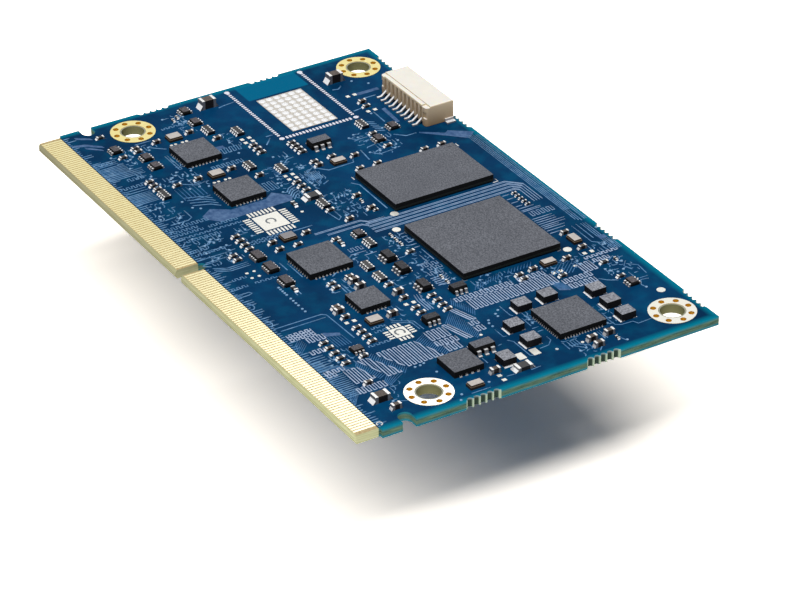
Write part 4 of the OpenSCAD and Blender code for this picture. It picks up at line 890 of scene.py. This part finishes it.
def left_lines():
    """Feeds round the radio footprint, the two interface chips and the wire connector."""
    lines = [
        [(-37.2, 2.2), (-37.0, 0.4), (-36.8, -0.4)], [(-26.6, 2.0), (-26.6, 1.0)],
        [(-26.0, 1.3), (-24.6, 0.0)], [(-38.3, -5.5), (-37.4, -6.7), (-36.4, -7.2)],
        [(-24.2, -5.9), (-24.1, -6.7)],
        [(-15.6, 7.6), (-14.7, 7.2), (-14.6, 3.5), (-15.5, 2.7), (-16.3, 2.1)],
        [(-16.3, 2.1), (-15.1, 0.2)], [(-20.0, 1.4), (-19.9, 0.4), (-19.2, -0.4)],
        [(-13.8, 2.1), (-12.6, 1.0)], [(-12.3, 2.1), (-11.8, 1.1)],
        [(-10.2, 4.2), (-9.2, 4.9), (-2.2, 4.8)], [(-17.2, 18.1), (-17.2, 16.6), (-18.4, 15.4)],
        [(-15.0, 13.3), (-14.8, 11.2), (-15.7, 10.4)], [(-19.6, 12.2), (-19.7, 10.6), (-20.5, 9.9)],
        [(-18.9, 12.0), (-18.7, 11.0)], [(-17.4, 12.0), (-17.2, 10.8)], [(-15.9, 11.9), (-15.6, 11.0)],
        [(-17.0, 9.6), (-14.2, 9.3)], [(-33.6, 16.3), (-33.0, 15.6), (-33.2, 14.8)],
        [(-26.8, 15.6), (-26.6, 14.2)], [(-25.0, 16.3), (-22.0, 16.2)], [(-29.0, 19.0), (-29.0, 17.2)],
        [(-5.0, -1.2), (-3.4, -1.2), (-2.9, -1.8), (-5.2, -2.1)], [(-3.5, -5.3), (-3.5, -8.0)],
        [(-5.1, 2.2), (-5.1, 1.2), (-3.9, 1.2), (-3.9, 0.4)], [(-6.2, 2.1), (-5.8, 1.5)],
        [(-8.9, 3.2), (-8.8, 2.5)], [(-8.5, 2.2), (-7.5, 1.7)], [(-8.6, 1.4), (-7.6, 0.9)],
        [(-8.2, 0.6), (-7.2, 0.3)], [(-4.6, -0.2), (-3.6, 0.0), (-3.2, -0.6)],
    ]
    lines += parallel([(-15.4, 1.9), (-13.3, 1.9)], 6, 0.0, -0.27)
    lines += parallel([(-13.6, -2.3), (-13.2, -3.2), (-12.4, -3.9)], 5, 0.5, 0.0)
    lines += parallel([(-23.2, 14.1), (-22.6, 15.0)], 6, 0.55, 0.0)
    lines += [meander(-26.7, -25.5, -3.0, -5.9, -0.2), meander(-23.2, -22.4, -4.6, -9.0)]
    return lines


def front_lines():
    """Lines that climb from the contact edge into the board, many of them folded into narrow strings."""
    lines = [beads(x, top, low, width) for x, top, low, width in (
        (-11.85, -15.6, -21.5, 0.6), (-10.85, -17.6, -21.4, 0.42), (-10.05, -17.2, -21.4, 0.4),
        (-10.05, -12.4, -16.4, 0.42), (-9.05, -12.4, -21.5, 0.3), (-8.1, -15.8, -20.6, 0.5),
        (-25.7, -17.4, -19.7, 0.6), (-23.9, -18.5, -21.4, 0.5), (-5.5, -19.2, -21.5, 0.5),
        (-4.5, -17.2, -21.3, 0.4), (3.1, -18.4, -20.5, 0.4), (5.0, -15.2, -18.2, 0.3),
        (5.0, -19.2, -21.5, 0.4), (-3.85, -8.6, -14.0, 0.26), (-3.3, -8.6, -14.0, 0.26),
        (21.6, -9.8, -11.9, 0.3), (22.5, -9.8, -11.9, 0.3), (24.9, -11.0, -14.0, 0.3),
        (-35.45, -5.6, -9.8, 0.3))]
    for x, low, high in (
            (-3.3, -21.7, -16.8), (-2.3, -21.0, -18.0), (-2.0, -21.5, -19.5), (-22.5, -21.5, -18.4),
            (-23.1, -21.5, -18.4), (0.1, -19.3, -16.5), (0.5, -19.3, -16.5), (0.9, -19.3, -16.5)):
        lines.append([(x, low), (x, high)])
    lines += hatch(((0.1, -19.3), (0.9, -19.3)), ((-0.7, -20.9), (0.1, -20.9)), 3)
    lines += parallel([(-13.9, -12.5), (-14.9, -13.5), (-15.7, -15.6)], 4, -0.75, 0.0)
    lines += [[(-16.9, -12.4), (-16.9, -15.0)], [(-8.1, -20.7), (-7.4, -21.4)],
              [(-30.5, -11.5), (-32.2, -13.4)]]
    lines += [meander(-28.9, -24.8, -12.25, -12.95, 0.0, 0.35), meander(-16.0, -13.9, -4.1, -5.9)]
    lines += [[(15.55, -21.5), (15.55, -15.0), (16.0, -14.5), (22.2, -14.3)], [(16.4, -21.0), (16.4, -14.9)]]
    lines += [[(-15.2, -17.1), (-13.2, -17.1), (-12.75, -17.8), (-12.75, -20.3)]]
    lines += [[(-14.3, -18.8), (-14.2, -20.3)], meander(-31.3, -30.8, -19.1, -21.0)]
    lines += [arc(9.6, -21.7, 0.8, 20, 160), arc(14.2, -21.9, 0.9, 30, 150)]
    lines += [[(9.3, -14.65), (10.2, -14.65)], [(9.3, -15.15), (10.2, -15.15)], [(10.7, -9.4), (12.8, -9.4)],
              [(10.7, -9.8), (12.8, -9.8)], [(3.1, -20.6), (3.5, -21.5)], [(-33.6, -12.2), (-33.6, -14.5)],
              [(6.5, -21.8), (6.5, -19.8), (6.9, -19.6), (7.1, -20.2), (7.1, -21.8)],
              [(3.0, -12.55), (6.8, -12.55)], [(2.4, -13.3), (4.4, -13.3)], [(7.0, -6.8), (8.6, -9.4)],
              [(-20.4, -11.3), (-20.1, -12.6), (-21.3, -14.2)], [(-12.9, -18.2), (-12.2, -19.0)],
              [(-7.2, -17.4), (-6.2, -18.4), (-6.2, -19.4)], [(-1.2, -20.8), (-1.8, -21.7)]]
    return lines


# Crowded places, each from x0 to x1 and from its top down to its foot
BUSY = (
    (-33.0, -31.6, -12.2, -16.5), (-24.6, -21.2, -13.0, -16.3), (-8.4, -5.0, -12.4, -14.0),
    (-8.5, -1.0, -16.2, -20.6), (-19.0, -13.4, -17.6, -21.2), (9.0, 13.4, -8.8, -10.8),
    (-9.6, -2.6, 2.8, -0.8), (3.2, 17.6, 3.2, 0.2), (5.6, 7.0, -2.4, -5.2), (12.8, 15.0, -0.2, -4.6),
    (18.0, 20.4, 9.4, 3.8), (18.6, 20.8, 24.0, 20.8), (22.4, 27.4, 23.2, 19.4), (19.6, 21.6, 19.0, 13.0),
    (-22.0, -12.0, 0.9, -0.4), (-19.6, -10.6, -2.4, -3.8), (-18.0, -12.4, 2.2, 0.2),
    (-30.6, -27.0, -2.6, -3.8), (17.8, 20.6, -2.6, -3.6), (-21.2, -15.0, 15.0, 10.4),
    (27.0, 30.0, 6.0, 5.0), (33.0, 37.6, -14.8, -17.0), (-32.0, -23.0, -16.4, -18.0),
    (18.0, 22.0, -6.4, -8.4), (35.6, 39.8, 8.4, 6.6), (30.8, 35.6, 14.6, 13.4), (-38.6, -33.0, -5.8, -7.6),
    (0.6, 14.6, -6.0, -5.2), (23.4, 26.8, -16.4, -19.0), (-28.8, -20.0, -10.8, -12.4))
BUSY_PITCH = 0.52
BUSY_INDENT = 0.9
BUSY_RUN = (0.25, 1.2)
BUSY_GAP = (0.3, 1.3)
BUSY_JOG = 0.22
BUSY_LEVEL_SHARE = 0.55
BUSY_VIA_SHARE = 0.3
BUSY_HOLE_R = 3.2
BUSY_EDGE = 0.6


def on_open_board(line):
    """Whether a route keeps off the board's edge and the pads of the mounting holes."""
    for x, y in line:
        if abs(x) > HALF_X - BUSY_EDGE or abs(y) > HALF_Y - BUSY_EDGE:
            return False
        if math.hypot(abs(x) - HOLE_X, abs(y - HOLE_MID_Y) - HOLE_HALF_Y) < BUSY_HOLE_R:
            return False
    return True


def busy_routes():
    """Short broken routes in the crowded places, with the vias at their ends."""
    random.seed(11)
    lines = []
    ends = []
    for x0, x1, top, low in BUSY:
        y = top
        while y > low:
            x = x0 + random.uniform(0.0, BUSY_INDENT)
            while x < x1:
                run = random.uniform(*BUSY_RUN)
                turn = random.choice((-BUSY_JOG, 0.0, BUSY_JOG))
                if random.random() < BUSY_LEVEL_SHARE:
                    line = [(x, y), (x + run, y), (x + run + abs(turn) + 0.05, y + turn)]
                else:
                    line = [(x, y), (x, y - 0.6 * run), (x + turn, y - 0.6 * run - 0.2)]
                has_via = random.random() < BUSY_VIA_SHARE
                if on_open_board(line):
                    lines.append(line)
                    ends += line[-1:] if has_via else []
                x += run + random.uniform(*BUSY_GAP)
            y -= BUSY_PITCH
    return lines, ends


def right_lines():
    """Feeds round the bridge chip, the controller and the right edge."""
    lines = [
        [(37.1, 18.1), (37.2, 16.0), (36.5, 15.7), (36.4, 14.1), (36.0, 13.5), (34.4, 13.4), (33.8, 13.6)],
        [(27.7, 19.5), (26.9, 18.4), (26.1, 17.7)], [(25.2, 4.05), (27.6, 4.05), (27.9, 4.3)],
        [(29.4, 0.75), (31.3, 0.75), (31.4, 1.2)], [(32.2, 0.7), (32.9, 1.2), (36.5, 1.2), (36.8, 1.8)],
        [(34.0, 5.1), (34.9, 5.1), (35.7, 4.3), (35.8, 3.0)], [(36.1, 5.9), (37.8, 5.9)],
        [(37.0, 6.3), (38.6, 7.8)], [(29.0, 4.85), (31.0, 4.85)], [(31.6, 5.5), (31.6, 4.6)],
        [(32.5, 5.6), (32.5, 4.8)], [(32.6, -0.3), (32.7, -0.9)], [(34.0, -3.9), (35.3, -3.9)],
        [(39.1, 1.0), (39.2, -0.4)], [(39.0, -2.4), (38.9, -3.6)], [(39.9, -6.4), (39.9, -9.0)],
        [(21.2, -8.7), (22.7, -6.4), (24.9, -6.3)], [(21.6, -8.9), (22.9, -6.8), (24.6, -6.7)],
        [(24.9, 22.5), (25.9, 23.6), (28.0, 23.4)], [(28.6, 23.2), (28.6, 22.0)],
        [(29.2, 22.9), (29.0, 21.9), (30.0, 21.3), (30.8, 21.5)], [(39.6, 12.7), (38.4, 12.2)],
        [(38.2, 10.5), (39.9, 8.8)], [(37.3, 7.4), (38.3, 8.4)], [(32.6, 14.9), (32.2, 13.6)],
        [(37.3, -16.0), (36.8, -17.0)],
        [(24.2, 22.9), (25.2, 22.0), (26.4, 22.4)], [(22.4, 22.2), (23.2, 21.0)],
    ]
    lines += parallel([(36.1, 11.1), (38.0, 11.1)], 2, 0.0, -0.32)
    lines += parallel([(36.1, 7.6), (37.6, 7.6)], 4, 0.0, -0.38)
    lines += parallel([(29.0, 5.9), (28.7, 5.3)], 4, 0.5, 0.0)
    return lines


def contact_fans():
    """A short line from each top contact under the mask, some longer than others."""
    random.seed(7)
    lines = []
    left = CONTACT_LOW.x / MM + CONTACT_HALF_W
    count = int(round((CONTACT_HIGH.x - CONTACT_LOW.x) / MM / CONTACT_PITCH)) + 1
    for i in range(count):
        x = left + i * CONTACT_PITCH
        if KEY_SLOT[0] < x < KEY_SLOT[1]:
            continue
        lines.append([(x, FEED_Y), (x, FEED_Y + random.choice(FEED_LENGTHS))])
    return lines


def via_places():
    """Vias that show through the mask on the top: three rows at the front, and single ones."""
    places = row(7.5, 9.5, -16.3, 0.5) + row(10.5, 12.4, -16.3, 0.62) + row(13.3, 14.0, -16.3, 0.7)
    places += [
        (31.4, -10.3), (31.6, -10.9), (31.6, -11.6), (33.8, -10.0), (39.5, -10.1), (40.5, -10.8),
        (10.4, -11.2), (11.2, -11.2), (8.7, -10.6), (-19.0, -11.5), (-19.6, -13.9), (-17.2, -16.3),
        (-15.2, -15.9), (-14.5, -15.1), (-6.1, -17.8), (-6.5, -18.2), (-23.4, -12.9), (-24.6, -4.1),
        (-21.3, -0.9), (37.0, 4.6), (25.9, 3.4), (26.5, 2.7), (27.1, 2.65), (27.3, 1.2), (27.9, 0.9),
        (28.7, 0.9), (38.9, -6.0), (15.6, 24.3), (30.8, 21.5), (24.7, 19.6), (25.4, 20.0), (26.0, 20.6),
        (-24.8, 15.8), (-32.3, 19.8), (-34.0, 18.2), (29.7, 5.4), (30.6, 5.3), (39.6, 12.8),
        (-20.5, 9.9), (-15.8, 10.3)]
    return places


def copper_plates():
    """Outlines of the wider copper that shows through the mask."""
    return [
        [(-17.2, 18.5), (-16.9, 18.4), (-14.3, 21.2), (-12.3, 23.2), (-13.5, 24.6), (-15.6, 21.9),
         (-15.2, 21.3)],
        [(-30.75, 20.2), (-30.1, 20.2), (-30.1, 16.9), (-30.75, 16.9)],
        [(-13.4, -5.6), (-11.4, -3.7), (-10.3, -4.3), (-10.2, -14.4), (-11.8, -15.9), (-12.6, -15.9),
         (-13.8, -14.2), (-12.3, -12.0), (-12.3, -7.0)],
        [(-25.3, 18.2), (-21.0, 17.9), (-21.0, 17.4), (-25.2, 17.6)],
        [(-27.5, -4.9), (-26.8, -4.9), (-26.8, -6.0), (-27.6, -6.0)],
        [(24.4, 13.4), (26.6, 13.4), (25.9, 12.2), (24.4, 12.2)],
        [(20.3, -15.2), (20.9, -15.4), (20.2, -17.1), (19.3, -17.0)],
        [(17.3, 23.2), (18.3, 23.2), (18.3, 24.2), (17.5, 24.2)],
        [(-38.3, -18.6), (-37.7, -18.4), (-38.9, -20.3), (-39.5, -20.3)],
        [(-35.6, -18.2), (-35.0, -18.1), (-36.6, -20.1), (-37.2, -21.6), (-37.7, -21.6), (-37.2, -19.9)],
        [(-34.8, -18.6), (-34.3, -18.5), (-35.9, -20.3), (-36.5, -20.3)],
    ]


def underside_vias():
    """Through vias below the large packages, away from the capacitors, and those that end the feeds."""
    parts = nodes["underside_capacitors"].data.vertices
    taken = [(v.co.x / MM, v.co.y / MM) for v in parts]
    places = []
    for x0, x1, y0, y1, pitch in UNDER_GRIDS:
        y = y0
        odd = 0
        while y <= y1:
            for x, _ in row(x0 + odd * pitch / 2, x1, y, pitch):
                if all(abs(x - a) > UNDER_CLEAR or abs(y - b) > UNDER_CLEAR for a, b in taken):
                    places.append((x, y))
            odd = 1 - odd
            y += pitch
    for x0, x1 in UNDER_FANS:
        places += row(x0, x1, UNDER_FAN_HIGH, UNDER_FAN_PITCH)
        places += row(x0 + UNDER_FAN_PITCH / 2, x1, UNDER_FAN_LOW, UNDER_FAN_PITCH)
    return places


def underside_feeds():
    """Lines on the underside, from its contacts up to a double row of vias."""
    lines = []
    for x0, x1 in UNDER_FANS:
        ends = row(x0, x1, UNDER_FAN_HIGH, UNDER_FAN_PITCH)
        ends += row(x0 + UNDER_FAN_PITCH / 2, x1, UNDER_FAN_LOW, UNDER_FAN_PITCH)
        lines += [[(x, FEED_Y), (x, y)] for x, y in ends]
    return lines


def print_marks():
    """White corner marks of the memory, short strokes at small parts and one small open ring."""
    return [
        [(-11.4, 5.0), (-10.7, 5.0)], [(-0.7, 19.5), (-0.7, 20.2), (-1.4, 20.2)],
        [(-12.0, 20.85), (-11.2, 20.85)], [(28.0, 21.7), (28.3, 21.5)], [(28.5, 21.8), (28.8, 21.6)],
        arc(39.8, -21.3, 0.35, 0, 300),
    ]


def package_corners():
    """Grey corner lines at three corners of the processor."""
    left, right, front, back = CPU_OUTLINE
    return [
        [(left + CORNER, front), (left, front), (left, front + CORNER)],
        [(right - CORNER, front), (right, front), (right, front + CORNER)],
        [(right - CORNER, back), (right, back), (right, back - CORNER)],
    ]


def quad_hooks():
    """A plain open arc on each of the two open quad pads."""
    return [arc(x, y, 0.6, 40, 320) for x, y in QUAD_PADS]


def printed_copper():
    """Lays all copper, vias and print. Each group of top lines is a little lower than the one before it."""
    routes, ends = busy_routes()
    top_lines = (
        ("matched_lines_right", matched_lines_right(), "pale_trace", 0.21),
        ("rising_lines", rising_lines(), "mid_trace", 0.19),
        ("hatched_lines", hatched_lines(), "dim_trace", 0.13),
        ("memory_lines", memory_lines(), "trace", 0.13),
        ("back_bus", back_bus(), "mid_trace", 0.13),
        ("processor_escape", processor_escape(), "trace", STRIP_W),
        ("left_lines", left_lines(), "mid_trace", 0.2),
        ("front_lines", front_lines(), "mid_trace", 0.17),
        ("right_lines", right_lines(), "mid_trace", STRIP_W),
        ("contact_fans", contact_fans(), "mid_trace", 0.2),
        ("busy_routes", routes, "mid_trace", 0.15),
    )
    for i, (name, lines, finish, width) in enumerate(top_lines):
        strips(name, lines, finish, width, STRIP_H - i * PIECE_STEP)
    pours("copper_plates", copper_plates(), "pour")
    dimpled_dots("masked_vias", via_places() + ends, "via")
    dimpled_dots("underside_vias", underside_vias(), "via", side=-1)
    strips("underside_feeds", underside_feeds(), "mid_trace", 0.2, -STRIP_H, UNDER / MM)
    strips("print_marks", print_marks(), "ink", 0.16, VIA_H)
    strips("package_corners", package_corners(), "faint_ink", 0.12, INK_H)
    pad_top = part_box("open_quad_pads")[1].z / MM
    strips("quad_hooks", quad_hooks(), "faint_ink", 0.25, INK_H, pad_top)


printed_copper()


# Studio
def floor():
    """Plain floor, overexposed to the camera alone, so that it shows white and keeps the shadow."""
    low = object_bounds()[0]
    bpy.ops.mesh.primitive_plane_add(size=FLOOR_SIZE, location=(0, 0, low.z - FLOOR_DROP))
    made = bpy.context.object
    made.name = "studio_floor"
    paint = bpy.data.materials.new("floor_paint")
    paint.use_nodes = True
    tree = paint.node_tree
    tree.nodes.clear()
    out = tree.nodes.new("ShaderNodeOutputMaterial")
    matte = tree.nodes.new("ShaderNodeBsdfDiffuse")
    path = tree.nodes.new("ShaderNodeLightPath")
    mixed = tree.nodes.new("ShaderNodeCombineColor")
    for socket, white in zip(mixed.inputs, FLOOR_TO_CAMERA):
        put(tree, spread(tree, path.outputs["Is Camera Ray"], 0.0, 1.0, FLOOR_COLOUR, white), socket)
    put(tree, mixed.outputs[0], matte.inputs["Color"])
    tree.links.new(matte.outputs[0], out.inputs["Surface"])
    made.data.materials.append(paint)


def sky():
    """White to the camera and to shiny metal, and a softer fill for everything else."""
    world = bpy.data.worlds.new("studio_sky")
    bpy.context.scene.world = world
    world.use_nodes = True
    tree = world.node_tree
    tree.nodes.clear()
    out = tree.nodes.new("ShaderNodeOutputWorld")
    glow = tree.nodes.new("ShaderNodeBackground")
    path = tree.nodes.new("ShaderNodeLightPath")
    shown = calc(tree, "MAXIMUM", path.outputs["Is Camera Ray"], path.outputs["Is Glossy Ray"])
    shown = calc(tree, "MAXIMUM", shown, path.outputs["Is Transmission Ray"])
    put(tree, spread(tree, shown, 0.0, 1.0, SKY_FILL, 1.0), glow.inputs["Strength"])
    tree.links.new(glow.outputs[0], out.inputs["Surface"])


def panel_lamp(name, watts, length, width, lit, way, far, roll=0.0):
    """A panel of light that faces a lit place from a given way and distance."""
    panel = bpy.data.lights.new(name, "AREA")
    panel.shape = "RECTANGLE"
    panel.energy = watts
    panel.size = length
    panel.size_y = width
    holder = bpy.data.objects.new(name, panel)
    holder.location = lit + far * way
    holder.rotation_mode = "QUATERNION"
    holder.rotation_quaternion = way.to_track_quat("Z", "Y") @ Quaternion((0, 0, 1), roll)
    bpy.context.scene.collection.objects.link(holder)


def lamps():
    """The long key lamp and the small square glare lamp."""
    panel_lamp("key_lamp", KEY_WATTS, KEY_LENGTH, KEY_WIDTH, KEY_ON, KEY_FROM, KEY_FAR, KEY_ROLL)
    panel_lamp("glare_lamp", GLARE_WATTS, GLARE_SIZE, GLARE_SIZE, GLARE_ON, GLARE_WAY, GLARE_FAR)


def camera():
    """The photograph's camera."""
    made = bpy.data.cameras.new("photo_camera")
    made.lens = CAMERA_LENS
    made.clip_start = 0.01
    made.clip_end = 20
    holder = bpy.data.objects.new("photo_camera", made)
    holder.location = CAMERA_AT
    holder.rotation_mode = "QUATERNION"
    level = (CAMERA_AIM - CAMERA_AT).to_track_quat("-Z", "Y")
    holder.rotation_quaternion = level @ Quaternion((0, 0, 1), math.radians(CAMERA_ROLL))
    bpy.context.scene.collection.objects.link(holder)
    bpy.context.scene.camera = holder


camera()
floor()
sky()
lamps()
bpy.context.scene.view_settings.view_transform = "Standard"
